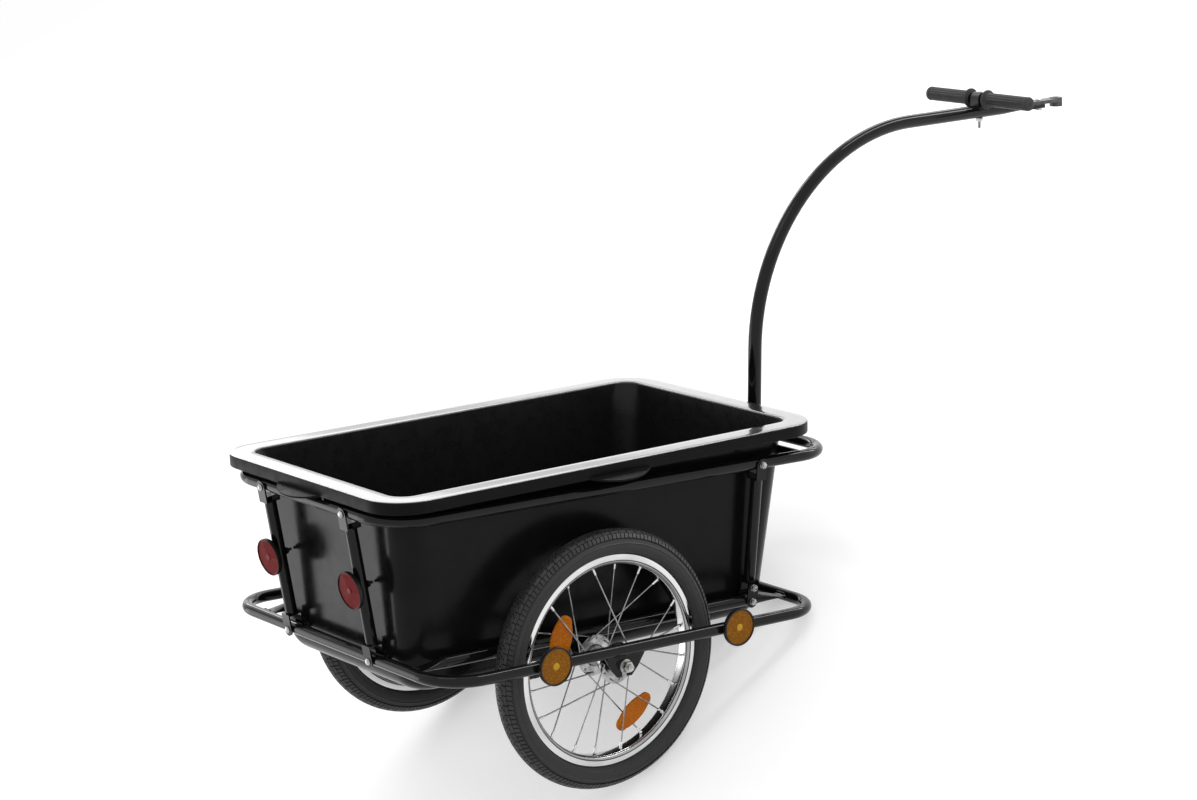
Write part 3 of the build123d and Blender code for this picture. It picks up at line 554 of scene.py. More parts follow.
# ---------------------------------------------------------------- making meshes
class Draft:
    """Points and faces of one piece before they become a mesh."""

    def __init__(self) -> None:
        """Start with nothing drawn."""
        self.points: list[Vector] = []
        self.faces: list[list[int]] = []
        self.marks: list[int] = []

    def add(
        self, points: list[Vector], faces: list[list[int]], place: Matrix = Matrix(), mark: int = 0
    ) -> None:
        """Add points and faces.

        Args:
            points: The points, in the frame of place.
            faces: Faces as indices of those points.
            place: The frame they are drawn in.
            mark: Which of the piece's finishes the faces have.
        """
        start = len(self.points)
        self.points += [place @ Vector(point) for point in points]
        self.faces += [[start + index for index in face] for face in faces]
        self.marks += [mark] * len(faces)

    def rings(
        self,
        rings: list[list[Vector]],
        place: Matrix = Matrix(),
        mark: int = 0,
        loop: bool = False,
        caps: bool = True,
    ) -> None:
        """Skin a stack of closed rings that have the same number of points.

        Args:
            rings: The rings in order.
            place: The frame they are drawn in.
            mark: Which of the piece's finishes the faces have.
            loop: Whether the last ring joins the first.
            caps: Whether the end rings are filled.
        """
        count = len(rings[0])
        points = [point for ring in rings for point in ring]
        faces = []
        for k in range(len(rings) if loop else len(rings) - 1):
            low = k * count
            high = ((k + 1) % len(rings)) * count
            for i in range(count):
                j = (i + 1) % count
                faces.append([low + i, low + j, high + j, high + i])
        if caps and not loop:
            faces.append(list(range(count))[::-1])
            faces.append([(len(rings) - 1) * count + i for i in range(count)])
        self.add(points, faces, place, mark)

    def turned(
        self,
        profile: Profile,
        place: Matrix = Matrix(),
        steps: int = 32,
        mark: int = 0,
        loop: bool = False,
        caps: bool = True,
    ) -> None:
        """Turn a profile about Z.

        Args:
            profile: Pairs of height along Z and radius.
            place: The frame it is drawn in.
            steps: How many faces go round.
            mark: Which of the piece's finishes the faces have.
            loop: Whether the profile is closed, as a ring's is.
            caps: Whether the ends of an open profile are filled.
        """
        rings = [
            [Vector((r * math.cos(a), r * math.sin(a), z)) for a in (
                2 * math.pi * i / steps for i in range(steps)
            )]
            for z, r in profile
        ]
        self.rings(rings, place, mark, loop, caps)

    def prism(
        self,
        outline: list[tuple[float, float]],
        low: float,
        high: float,
        place: Matrix = Matrix(),
        edge: float = 0.0,
        mark: int = 0,
    ) -> None:
        """Raise an outline along Z, with its two ends chamfered.

        Args:
            outline: The outline's corners, anticlockwise.
            low: Where it starts.
            high: Where it ends.
            place: The frame it is drawn in.
            edge: The chamfer.
            mark: Which of the piece's finishes the faces have.
        """
        levels = [
            (low, edge), (low + edge, 0.0), (high - edge, 0.0), (high, edge)
        ] if edge > 0 else [(low, 0.0), (high, 0.0)]
        self.rings([[Vector((x, y, z)) for x, y in inset(outline, by)] for z, by in levels], place, mark)

    def hex_nut(self, radius: float, height: float, place: Matrix, mark: int = 0) -> None:
        """A hexagon nut whose corners are turned off at both faces.

        Args:
            radius: To its corners.
            height: Its height from Z = 0.
            place: The frame it is drawn in.
            mark: Which of the piece's finishes it has.
        """
        self.rings(
            [
                hexagon(radius * 0.9, 0.0, 12),
                hexagon(radius, radius * 0.09, 12, 0.99),
                hexagon(radius, height - radius * 0.09, 12, 0.99),
                hexagon(radius * 0.9, height, 12),
            ],
            place,
            mark,
        )

    def threads(
        self, radius: float, low: float, high: float, place: Matrix, pitch: float = 1.0 * MM, mark: int = 0
    ) -> None:
        """A threaded end, drawn as ridges, with its tip chamfered.

        Args:
            radius: Over the ridges.
            low: Where it starts.
            high: Where it ends.
            place: The frame it is drawn in.
            pitch: From ridge to ridge.
            mark: Which of the piece's finishes it has.
        """
        profile: Profile = [(low, radius * 0.86)]
        z = low + pitch * 0.5
        while z < high - pitch:
            profile += [(z, radius), (z + pitch * 0.5, radius * 0.86)]
            z += pitch
        profile += [(high - pitch * 0.5, radius * 0.9), (high, radius * 0.7)]
        self.turned(profile, place, 20, mark)

    def piece(
        self, name: str, body: Body, finishes: list[Finish], crease: float = 35.0, parked: bool = True
    ) -> bpy.types.Object:
        """Make the mesh and let it ride on its body.

        Args:
            name: The piece's name.
            body: The body it moves with.
            finishes: Its finishes, in the order of the faces' marks.
            crease: Edges that bend by more than this, in degrees, stay sharp.
            parked: Whether the points are in the level drawing and need the parking turn.

        Returns:
            The new object.
        """
        mesh = bpy.data.meshes.new(name)
        turn = PARKED if parked else Matrix()
        mesh.from_pydata([turn @ point for point in self.points], [], self.faces)
        for finish in finishes:
            mesh.materials.append(finish.material())
        mesh.polygons.foreach_set("material_index", self.marks)
        soften(mesh, crease)
        piece = bpy.data.objects.new(name, mesh)
        bpy.context.scene.collection.objects.link(piece)
        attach(piece, body.value)
        LOG.info("%s: %d faces", name, len(mesh.polygons))
        return piece


def soften(mesh: bpy.types.Mesh, crease: float) -> None:
    """Turn faces outwards, shade them smooth, and keep the edges that bend sharply.

    Args:
        mesh: The mesh to change.
        crease: Edges that bend by more than this, in degrees, stay sharp.
    """
    shape = bmesh.new()
    shape.from_mesh(mesh)
    bmesh.ops.remove_doubles(shape, verts=shape.verts, dist=WELD)
    bmesh.ops.recalc_face_normals(shape, faces=shape.faces)
    limit = math.radians(crease)
    for face in shape.faces:
        face.smooth = True
    for edge in shape.edges:
        edge.smooth = len(edge.link_faces) != 2 or edge.calc_face_angle(0.0) < limit
    shape.to_mesh(mesh)
    shape.free()


def inset(outline: list[tuple[float, float]], by: float) -> list[tuple[float, float]]:
    """Move a convex outline's corners inwards.

    Args:
        outline: The corners, anticlockwise.
        by: How far its sides move.

    Returns:
        The moved corners.
    """
    if by == 0.0:
        return list(outline)
    moved = []
    count = len(outline)
    for i in range(count):
        before = Vector(outline[i - 1])
        here = Vector(outline[i])
        after = Vector(outline[(i + 1) % count])
        a = (here - before).normalized()
        b = (after - here).normalized()
        across = Vector((-a.y - b.y, a.x + b.x))
        reach = by / max(0.3, across.length / 2)
        moved.append(tuple(here + across.normalized() * reach))
    return moved


def mm(pairs: Profile) -> Profile:
    """Pairs written in millimetres, in metres."""
    return [(a * MM, b * MM) for a, b in pairs]


def hexagon(radius: float, z: float, count: int = 6, corner: float = 1.0) -> list[Vector]:
    """A hexagon's ring, with a point in the middle of each side where the count is 12.

    Args:
        radius: To its corners.
        z: Its height.
        count: 6 or 12 points.
        corner: Pulls the corners in.

    Returns:
        The ring's points.
    """
    ring = []
    for i in range(count):
        at_corner = count == 6 or i % 2 == 0
        r = radius * corner if at_corner else radius * math.cos(math.pi / 6)
        a = 2 * math.pi * i / count
        ring.append(Vector((r * math.cos(a), r * math.sin(a), z)))
    return ring


def oval(length: float, width: float, end_width: float, steps: int = 14) -> list[tuple[float, float]]:
    """An outline with two bulging sides and two round ends.

    Args:
        length: Over the ends.
        width: At the middle.
        end_width: Where the ends begin.
        steps: How many points each arc has.

    Returns:
        The corners, anticlockwise.
    """
    end = end_width / 2
    neck = length / 2 - end
    rise = width / 2 - end
    radius = (neck * neck + rise * rise) / (2 * rise)
    half_turn = math.asin(neck / radius)
    arc = [
        (-radius * math.sin(
            half_turn * (2 * i / steps - 1)
        ), width / 2 - radius + radius * math.cos(half_turn * (2 * i / steps - 1)))
        for i in range(steps + 1)
    ]
    tip = [(
        -neck - end * math.sin(math.pi * i / steps), end * math.cos(math.pi * i / steps)
    ) for i in range(1, steps)]
    half = arc + tip
    return half + [(-x, -y) for x, y in half]


def dress(nodes: list[str], finish: Finish) -> None:
    """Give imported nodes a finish.

    Args:
        nodes: The nodes' names.
        finish: Their finish.
    """
    for name in nodes:
        node = frame["nodes"][name]
        node.data.materials.clear()
        node.data.materials.append(finish.material())
        LOG.info("%s: %s", name, finish.name)


# ---------------------------------------------------------------- tub
@dataclass(frozen=True)
class Tub:
    """The moulded tub: leaning walls, flat rim, down-turned lip, half-moon finger tabs and two rear ribs."""

    rim_width: float = 37.5 * MM
    rim_corner: float = 65.0 * MM
    wall: float = 3.0 * MM
    depth: float = 305.0 * MM
    lean_rear: float = 36.0 * MM
    lean_front: float = 34.0 * MM
    lean_side: float = 24.0 * MM
    shoulder: float = 25.0 * MM
    shoulder_round: float = 13.0 * MM
    foot_round: float = 19.0 * MM
    bottom_r: float = 32.0 * MM
    lip_drop: float = 18.5 * MM
    edge_r: float = 2.2 * MM
    tab_length: float = 114.0 * MM
    tab_out: float = 24.0 * MM
    tab_thick: float = 3.0 * MM
    tab_droop: float = math.radians(14.0)
    rib_y: float = 60.0 * MM
    rib_thick: float = 4.0 * MM
    rib_drop: float = 23.0 * MM
    corner_steps: int = 14
    side_steps: int = 16
    wall_steps: int = 8
    foot_steps: int = 9
    edge_steps: int = 5
    shoulder_start: float = 14.0 * MM
    outside_start: float = 6.0 * MM
    least_corner: float = 4.0 * MM

    @property
    def place(self) -> Matrix:
        """The frame of the rim, X forward from its middle and Z up.

        Returns:
            The frame's matrix in the level drawing.
        """
        back = Matrix.Translation((LAYOUT.tub_rear_x, 0.0, LAYOUT.tub_rear_z))
        return back @ Matrix.Rotation(-LAYOUT.tub_tilt, 4, "Y") @ Matrix.Translation(
            (LAYOUT.tub_length / 2, 0.0, 0.0)
        )

    def ring(self, length: float, width: float, corner: float, middle: float, z: float) -> list[Vector]:
        """A rounded rectangle at one height.

        Args:
            length: Along X.
            width: Along Y.
            corner: The corners' radius.
            middle: Where its middle is along X.
            z: Its height.

        Returns:
            The ring's points, anticlockwise.
        """
        points = []
        half_l = length / 2 - corner
        half_w = width / 2 - corner
        for quarter, (sx, sy) in enumerate(((1, 1), (-1, 1), (-1, -1), (1, -1))):
            centre = Vector((middle + sx * half_l, sy * half_w, z))
            for k in range(self.corner_steps + 1):
                a = math.pi / 2 * (quarter + k / self.corner_steps)
                points.append(centre + Vector((math.cos(a), math.sin(a), 0.0)) * corner)
            run = Vector((-2 * half_l, 0.0, 0.0)) if quarter % 2 == 0 else Vector((0.0, -2 * half_w, 0.0))
            if quarter >= 2:
                run = -run
            start = points[-1]
            points += [start + run * (k / self.side_steps) for k in range(1, self.side_steps)]
        return points

    def rim_ring(self, offset: float, z: float) -> list[Vector]:
        """The rim's outline moved inwards by an offset, at one height.

        Args:
            offset: How far inwards.
            z: Its height.

        Returns:
            The ring's points, anticlockwise.
        """
        length = LAYOUT.tub_length - 2 * offset
        width = LAYOUT.tub_width - 2 * offset
        return self.ring(length, width, self.rim_corner - offset, 0.0, z)

    def wall_ring(self, depth: float, out: float, narrower: float = 0.0) -> list[Vector]:
        """A wall's outline at a depth below the rim.

        Args:
            depth: Below the rim plane.
            out: How far outside the inner face it is.
            narrower: How much further in the rounded foot is there.

        Returns:
            The ring's points.
        """
        share = depth / self.depth
        move = out - narrower
        length = LAYOUT.tub_length - 2 * self.rim_width + 2 * move - (
            self.lean_rear + self.lean_front
        ) * share
        width = LAYOUT.tub_width - 2 * self.rim_width + 2 * move - 2 * self.lean_side * share
        corner = self.rim_corner - self.rim_width + out
        if depth < self.shoulder:
            corner += self.shoulder_round * depth / self.shoulder
        else:
            more = (depth - self.shoulder) / (self.depth - self.shoulder)
            corner += self.shoulder_round + (self.foot_round - self.shoulder_round) * more
        middle = (self.lean_rear - self.lean_front) / 2 * share
        return self.ring(length, width, max(corner - narrower, self.least_corner), middle, -depth)

    def wall_rings(self, out: float, floor: float, foot_r: float, start: float) -> list[list[Vector]]:
        """The rings of one face of the walls, down to the edge of the floor.

        Args:
            out: How far outside the inner face it is.
            floor: The depth of the floor's face.
            foot_r: The radius between wall and floor.
            start: The depth where it starts.

        Returns:
            The rings from the top down.
        """
        stops = [start, self.shoulder_start, self.shoulder]
        drop = floor - foot_r - self.shoulder
        stops += [self.shoulder + drop * k / self.wall_steps for k in range(1, self.wall_steps + 1)]
        rings = [self.wall_ring(depth, out) for depth in stops]
        for k in range(1, self.foot_steps + 1):
            a = math.pi / 2 * k / self.foot_steps
            rings.append(self.wall_ring(
                floor - foot_r + foot_r * math.sin(a), out, foot_r * (1 - math.cos(a)) * 0.98
            ))
        return rings

    def shell(self, draft: Draft) -> None:
        """Draw the walls, floor, rim and lip.

        Args:
            draft: Where to draw it.
        """
        turns = [math.pi / 2 * k / self.edge_steps for k in range(self.edge_steps + 1)]
        rounding = [(self.edge_r * (1 - math.sin(a)), self.edge_r * (1 - math.cos(a))) for a in turns]
        lip = self.lip_drop
        outer = self.wall_rings(self.wall, self.depth, self.bottom_r, self.outside_start)
        outer.insert(0, self.rim_ring(self.rim_width - self.wall - 1.0 * MM, -self.wall - 0.6 * MM))
        outer.insert(0, self.rim_ring(self.rim_width - self.wall - 3.0 * MM, -self.wall))
        under = [
            self.rim_ring(self.edge_r - 0.5 * MM + 2.5 * MM, -self.wall),
            self.rim_ring(self.wall, -self.wall - 2.0 * MM),
            self.rim_ring(self.wall, 1.0 * MM - lip),
            self.rim_ring(self.wall - 1.0 * MM, -lip),
            self.rim_ring(1.0 * MM, -lip),
            self.rim_ring(0.3 * MM, 0.4 * MM - lip),
        ]
        side = [self.rim_ring(0.0, 1.2 * MM - lip), self.rim_ring(0.0, -self.edge_r)]
        side += [self.rim_ring(back, -down) for down, back in rounding[1:]]
        top = [self.rim_ring(self.rim_width * share, 0.0) for share in (0.3, 0.5, 0.7)]
        top += [self.rim_ring(self.rim_width - down, -back) for down, back in rounding]
        inner = self.wall_rings(0.0, self.depth - self.wall, self.bottom_r - self.wall, self.edge_r)
        draft.rings(outer[::-1], mark=0, caps=False)
        draft.faces.append(list(range(len(outer[0]))))
        draft.marks.append(0)
        draft.rings([outer[0]] + under + side[:-3], mark=3, caps=False)
        draft.rings(side[-4:] + top, mark=1, caps=False)
        start = len(draft.points)
        draft.rings([top[-1]] + inner, mark=2, caps=False)
        ring_count = len(inner[0])
        draft.faces.append([start + len(inner) * ring_count + i for i in range(ring_count)])
        draft.marks.append(2)

    def tabs(self, draft: Draft) -> None:
        """Draw the half-moon finger tabs that stand out from the lip and droop.

        Args:
            draft: Where to draw it.
        """
        radius = (self.tab_out ** 2 + (self.tab_length / 2) ** 2) / (2 * self.tab_out)
        root = -2.0 * MM
        half = math.acos((root - self.tab_out + radius) / radius)
        outline = [
            (self.tab_out - radius + radius * math.cos(a), radius * math.sin(a))
            for a in (half * (k / 14 - 1) for k in range(29))
        ]
        for turn, reach in ((0, LAYOUT.tub_length), (
            180, LAYOUT.tub_length
        ), (90, LAYOUT.tub_width), (270, LAYOUT.tub_width)):
            place = Matrix.Rotation(math.radians(turn), 4, "Z") @ Matrix.Translation(
                (reach / 2, 0.0, self.tab_thick / 2 - self.lip_drop)
            )
            place = place @ Matrix.Rotation(self.tab_droop, 4, "Y")
            draft.prism(outline, -self.tab_thick / 2, self.tab_thick / 2, place, 0.8 * MM, 3)

    def ribs(self, draft: Draft) -> None:
        """Draw the two webs under the rear of the rim.

        Args:
            draft: Where to draw it.
        """
        back = self.wall / 2 - LAYOUT.tub_length / 2
        front = self.rim_width - LAYOUT.tub_length / 2
        for y in (-self.rib_y, self.rib_y):
            half = self.rib_thick / 2
            outline = [(back, y - half), (front, y - half), (front, y + half), (back, y + half)]
            draft.prism(outline, -self.rib_drop, -1.0 * MM, Matrix(), 0.5 * MM, 0)

    def build(self) -> None:
        """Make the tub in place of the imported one."""
        draft = Draft()
        self.shell(draft)
        self.tabs(draft)
        self.ribs(draft)
        place = self.place
        draft.points = [place @ point for point in draft.points]
        piece = draft.piece("tub_moulding", Body.TRAILER, [
            Finishes.TUB_OUTSIDE, Finishes.TUB_RIM, Finishes.TUB_INSIDE, Finishes.TUB_LIP
        ], 40.0)
        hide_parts("tub")


# ---------------------------------------------------------------- wheels
@dataclass(frozen=True)
class Tread:
    """The tyre's rows of small blocks, with longer ones at the shoulders."""

    crown_centre: float = 173.96 * MM
    crown_r: float = 21.04 * MM
    groove: float = 2.2 * MM
    pitches: int = 158
    # middle and width over the crown in degrees, shift, cover and how many pitches each block takes
    rows: tuple[tuple[float, float, float, float, int], ...] = (
        (-49.5, 21.0, 0.0, 0.78, 1), (49.5, 21.0, 0.0, 0.78, 1), (
            -30.0, 13.5, 0.25, 0.88, 2
        ), (30.0, 13.5, 0.25, 0.88, 2),
        (
            -10.5, 8.0, 0.75, 0.86, 2
        ), (10.5, 8.0, 0.5, 0.86, 2), (-19.0, 6.0, 0.5, 0.8, 1), (19.0, 6.0, 0.0, 0.8, 1),
        (0.0, 9.0, 0.1, 0.8, 1),
    )
    skew: float = 0.12

    def corner(self, beta: float, around: float, height: float) -> Vector:
        """A point on the crown, in the wheel's frame.

        Args:
            beta: The angle over the crown, in radians.
            around: The angle round the wheel, in radians.
            height: Above the groove floor.

        Returns:
            The point, with Z along the axle.
        """
        over = self.crown_r - self.groove + height
        radius = self.crown_centre + over * math.cos(beta)
        return Vector((radius * math.cos(around), radius * math.sin(around), over * math.sin(beta)))

    def draw(self, draft: Draft, place: Matrix) -> None:
        """Draw every block of the tread.

        Args:
            draft: Where to draw it.
            place: The frame it is drawn in.
        """
        for middle, width, shift, cover, takes in self.rows:
            pitch = 2 * math.pi * takes / self.pitches
            lean = self.skew if middle > 0 else -self.skew
            b0 = math.radians(middle - width / 2)
            b1 = math.radians(middle + width / 2)
            foot = math.radians(0.9)
            for k in range(self.pitches // takes):
                at = (k + shift) * pitch
                half = pitch * cover / 2
                corners = ((b0, -half, -lean), (b0, half, -lean), (b1, half, lean), (b1, -half, lean))
                low = [
                    self.corner(
                        b - foot if b == b0 else b + foot, at + a * 1.1 + way * pitch / takes, -0.3 * MM
                    )
                    for b, a, way in corners
                ]
                high = [self.corner(b, at + a + way * pitch / takes, self.groove) for b, a, way in corners]
                # Mark 1: each block takes the lighter tread rubber, a painted sheen on its top.
                draft.rings([low, high], place, 1)


@dataclass(frozen=True)
class Wheel:
    """One wheel: tyre, box rim, spokes with nipples and heads, hub and spoke reflectors."""

    side: Side
    tread: Tread = field(default_factory=Tread)
    rim_inner_r: float = 143.5 * MM
    spokes_per_flange: int = 10
    spoke_turn: float = 1.5
    spoke_lead: float = 72.0
    spoke_r: float = 1.1 * MM
    hole_r: float = 26.0 * MM
    flange_y: float = 25.5 * MM
    flange_thick: float = 2.6 * MM
    valve_at: float = 181.5
    round_steps: int = 180
    case_steps: int = 10
    case_degrees: float = 6.3
    head_out: float = 3.0 * MM
    elbow_in: float = 1.25 * MM
    rim_gap: float = 0.45 * MM
    rim_offset: float = 2.5 * MM
    shell_rings: tuple[float, ...] = (8.0, 11.0, 14.0)

    @property
    def place(self) -> Matrix:
        """The wheel's frame: X forward, Y up and Z along the axle to the right.

        Returns:
            The frame's matrix in the level drawing.
        """
        return Matrix.Translation(
            (0.0, self.side.value * LAYOUT.wheel_y, 0.0)
        ) @ Matrix.Rotation(math.pi / 2, 4, "X")

    def named(self, what: str) -> str:
        """A piece's name with this wheel's side."""
        return f"{what}_{self.side.word}"

    def make(
        self, draft: Draft, what: str, finishes: list[Finish], crease: float = 35.0
    ) -> bpy.types.Object:
        """Turn a draft into one of this wheel's pieces."""
        return draft.piece(self.named(what), self.side.wheel, finishes, crease)

    def tyre(self) -> None:
        """Make the tyre's case with its fine rings, and the tread; rings and blocks take a painted sheen."""
        case: Profile = []
        floor = self.tread.crown_r - self.tread.groove
        for k in range(self.case_steps + 1):
            beta = math.radians(self.case_degrees * k)
            case.append((floor * math.sin(beta), self.tread.crown_centre + floor * math.cos(beta)))
        # Strips marked 1 are the fine raised rings in the lighter tread rubber: painted highlight lines.
        strips: list[tuple[int, Profile]] = [
            (0, [(19.1, 181.4), (20.3, 179.4), (21.2, 177.6)]),
            (1, [(21.2, 177.6), (22.0, 177.0), (22.1, 176.3), (21.6, 175.6)]),
            (0, [(21.6, 175.6), (22.2, 173.4), (22.4, 171.0), (22.2, 168.8), (21.6, 166.6), (20.9, 165.0)]),
            (1, [(20.9, 165.0), (20.8, 164.4), (20.1, 163.6)]),
            (0, [
                (20.1, 163.6),
                (18.0, 162.1),
                (15.4, 161.3),
                (13.6, 160.9),
                (12.8, 160.2),
                (10.6, 159.8),
                (10.5, 153.0),
            ]),
            (0, [
                (10.5, 153.0),
                (8.0, 153.0),
                (8.0, 161.5),
                (16.0, 166.0),
                (18.0, 172.0),
                (15.0, 180.0),
                (0.0, 188.5),
            ]),
        ]
        shoulder_y, shoulder_r = strips[0][1][0]
        draft = Draft()
        for way in (-1, 1):
            half = [(way * y, r) for y, r in case]
            draft.turned(half, self.place, self.round_steps, 0, caps=False)
            draft.turned([
                half[-1], (way * shoulder_y * MM, shoulder_r * MM)
            ], self.place, self.round_steps, 0, caps=False)
            for mark, strip in strips:
                draft.turned(
                    mm([(way * y, r) for y, r in strip]), self.place, self.round_steps, mark, caps=False
                )
        self.tread.draw(draft, self.place)
        piece = self.make(draft, "tyre_rubber", [Finishes.RUBBER, Finishes.TREAD], 28.0)
        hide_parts(self.named("tyre"))

    def rim(self) -> None:
        """Make the rolled box rim with rounded edges; its shoulders, well and grooves take darker copies of the
        chrome, painted shade.
        """
        # Mark 0 is the bright chrome, mark 1 a darker copy of it and mark 2 a near-black one in the grooves:
        # painted shade.
        strips: list[tuple[int, Profile]] = [
            (1, [(0.0, 150.5), (10.9, 150.5), (10.9, 158.6), (11.4, 159.3)]),
            (0, [
                (11.4, 159.3),
                (12.2, 159.5),
                (12.9, 159.2),
                (13.3, 158.4),
                (13.5, 156.6),
                (13.5, 153.4),
                (13.35, 150.6),
            ]),
            (2, [(13.35, 150.6), (12.9, 149.8), (12.8, 148.8)]),
            (1, [(12.8, 148.8), (12.3, 147.4), (11.2, 146.2), (9.6, 145.2)]),
            (2, [(9.6, 145.2), (9.0, 145.1), (8.9, 144.5)]),
            (0, [(8.9, 144.5), (8.4, 144.1), (6.8, 143.8), (3.5, 143.55), (0.0, 143.5)]),
        ]
        draft = Draft()
        for mark, strip in strips:
            for way in (-1, 1):
                draft.turned(
                    mm([(way * y, r) for y, r in strip]), self.place, self.round_steps, mark, caps=False
                )
        piece = self.make(
            draft, "rim_bright", [Finishes.CHROME, Finishes.CHROME_WELL, Finishes.CHROME_GROOVE], 30.0
        )
        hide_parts(self.named("rim"))

    def spoke_line(self, flange: int, k: int) -> tuple[Vector, Vector, bool]:
        """Where a spoke runs, in the wheel's frame.

        Args:
            flange: 1 for the flange to the left, -1 for the one to the right.
            k: Its number on that flange.

        Returns:
            Its hub end, its rim end, and whether it starts outside its flange.
        """
        step = 360.0 / self.spokes_per_flange
        lead = flange if k % 2 == 0 else -flange
        at_hub = math.radians(self.spoke_turn + k * step + flange * step / 4)
        at_rim = at_hub + math.radians(lead * self.spoke_lead)
        outside = lead > 0
        aside = self.flange_y - self.elbow_in
        if outside:
            aside = self.flange_y + self.flange_thick + self.head_out
        rim_r = self.rim_inner_r - self.rim_gap
        start = Vector((self.hole_r * math.cos(at_hub), self.hole_r * math.sin(at_hub), -flange * aside))
        end = Vector((rim_r * math.cos(at_rim), rim_r * math.sin(at_rim), -flange * self.rim_offset))
        return start, end, outside

    def spoke_ends(self) -> None:
        """Make the nipples at the rim and the spokes' heads at the flanges."""
        nipples = Draft()
        heads = Draft()
        for flange in (-1, 1):
            for k in range(self.spokes_per_flange):
                start, end, outside = self.spoke_line(flange, k)
                along = (start - end).normalized()
                at = self.place @ facing(end, along)
                body: Profile = [
                    (0.0, 2.6), (1.0, 2.5), (1.6, 2.05), (8.0, 1.95), (10.4, 1.75), (11.0, 1.3)
                ]
                nipples.turned(mm(body), at, 12)
                way = 1.0 if outside else -1.0
                face = self.flange_y if outside else self.flange_y + self.flange_thick
                seat = Vector((start.x, start.y, -flange * face))
                head = self.place @ facing(seat, Vector((0.0, 0.0, flange * way)))
                dome: Profile = [(0.0, 1.3), (0.0, 2.1), (0.5, 2.0), (1.0, 1.4), (1.2, 0.4)]
                heads.turned(mm(dome), head, 12)
                if not outside:
                    inner = self.place @ facing(
                        Vector((start.x, start.y, -flange * self.flange_y)), Vector((0, 0, flange))
                    )
                    heads.turned([(0.0, self.spoke_r), (1.3 * MM, self.spoke_r)], inner, 10)
        self.make(nipples, "spoke_nipples", [Finishes.CHROME])
        self.make(heads, "spoke_heads", [Finishes.SPOKE])

    def hub_caps(self) -> None:
        """Make the black dust caps and the fine rolled rings on the hub's shell."""
        caps = Draft()
        shell = Draft()
        for way in (-1, 1):
            turn = self.place @ (Matrix() if way > 0 else Matrix.Rotation(math.pi, 4, "X"))
            cap: Profile = [
                (34.6, 11.6), (34.6, 13.2), (35.2, 13.7), (38.4, 13.7), (38.9, 13.3), (39.1, 12.6),
                (38.6, 11.8), (38.4, 10.6), (38.4, 8.2), (36.0, 8.2),
            ]
            caps.turned(mm(cap), turn, 40, loop=True)
            for at in self.shell_rings:
                ring: Profile = [(at - 0.8, 14.9), (at - 0.4, 15.25), (at + 0.4, 15.25), (at + 0.8, 14.9)]
                shell.turned(mm(ring), turn, 40, loop=True)
        self.make(caps, "hub_dust_caps", [Finishes.HOUSING])
        self.make(shell, "hub_rings", [Finishes.HUB])

    def valve(self) -> None:
        """Make the valve between two spokes."""
        a = math.radians(self.valve_at)
        out = Vector((math.cos(a), math.sin(a), 0.0))
        seat = self.place @ facing(out * (self.rim_inner_r + 1.0 * MM), -out)
        stem = Draft()
        stem.turned(mm([(0.0, 4.2), (2.0, 4.0), (3.2, 3.1), (14.0, 2.9), (14.5, 2.5)]), seat, 16)
        cap: Profile = [(14.0, 2.9), (14.2, 3.4), (21.5, 3.3), (23.0, 2.6), (23.4, 1.6)]
        stem.turned(mm(cap), seat, 10)
        self.make(stem, "tyre_valve", [Finishes.HOUSING])

    def build(self) -> None:
        """Make the wheel's pieces and dress its hub and spokes."""
        self.tyre()
        self.rim()
        self.spoke_ends()
        self.hub_caps()
        self.valve()
        dress([self.named("hub")], Finishes.HUB)
        dress([self.named("spokes")], Finishes.SPOKE)
        SpokeReflectors(self).build()


# ---------------------------------------------------------------- reflectors
class Mount(Enum):
    """Where round reflectors are fixed."""

    SIDE = "side"
    REAR = "rear"


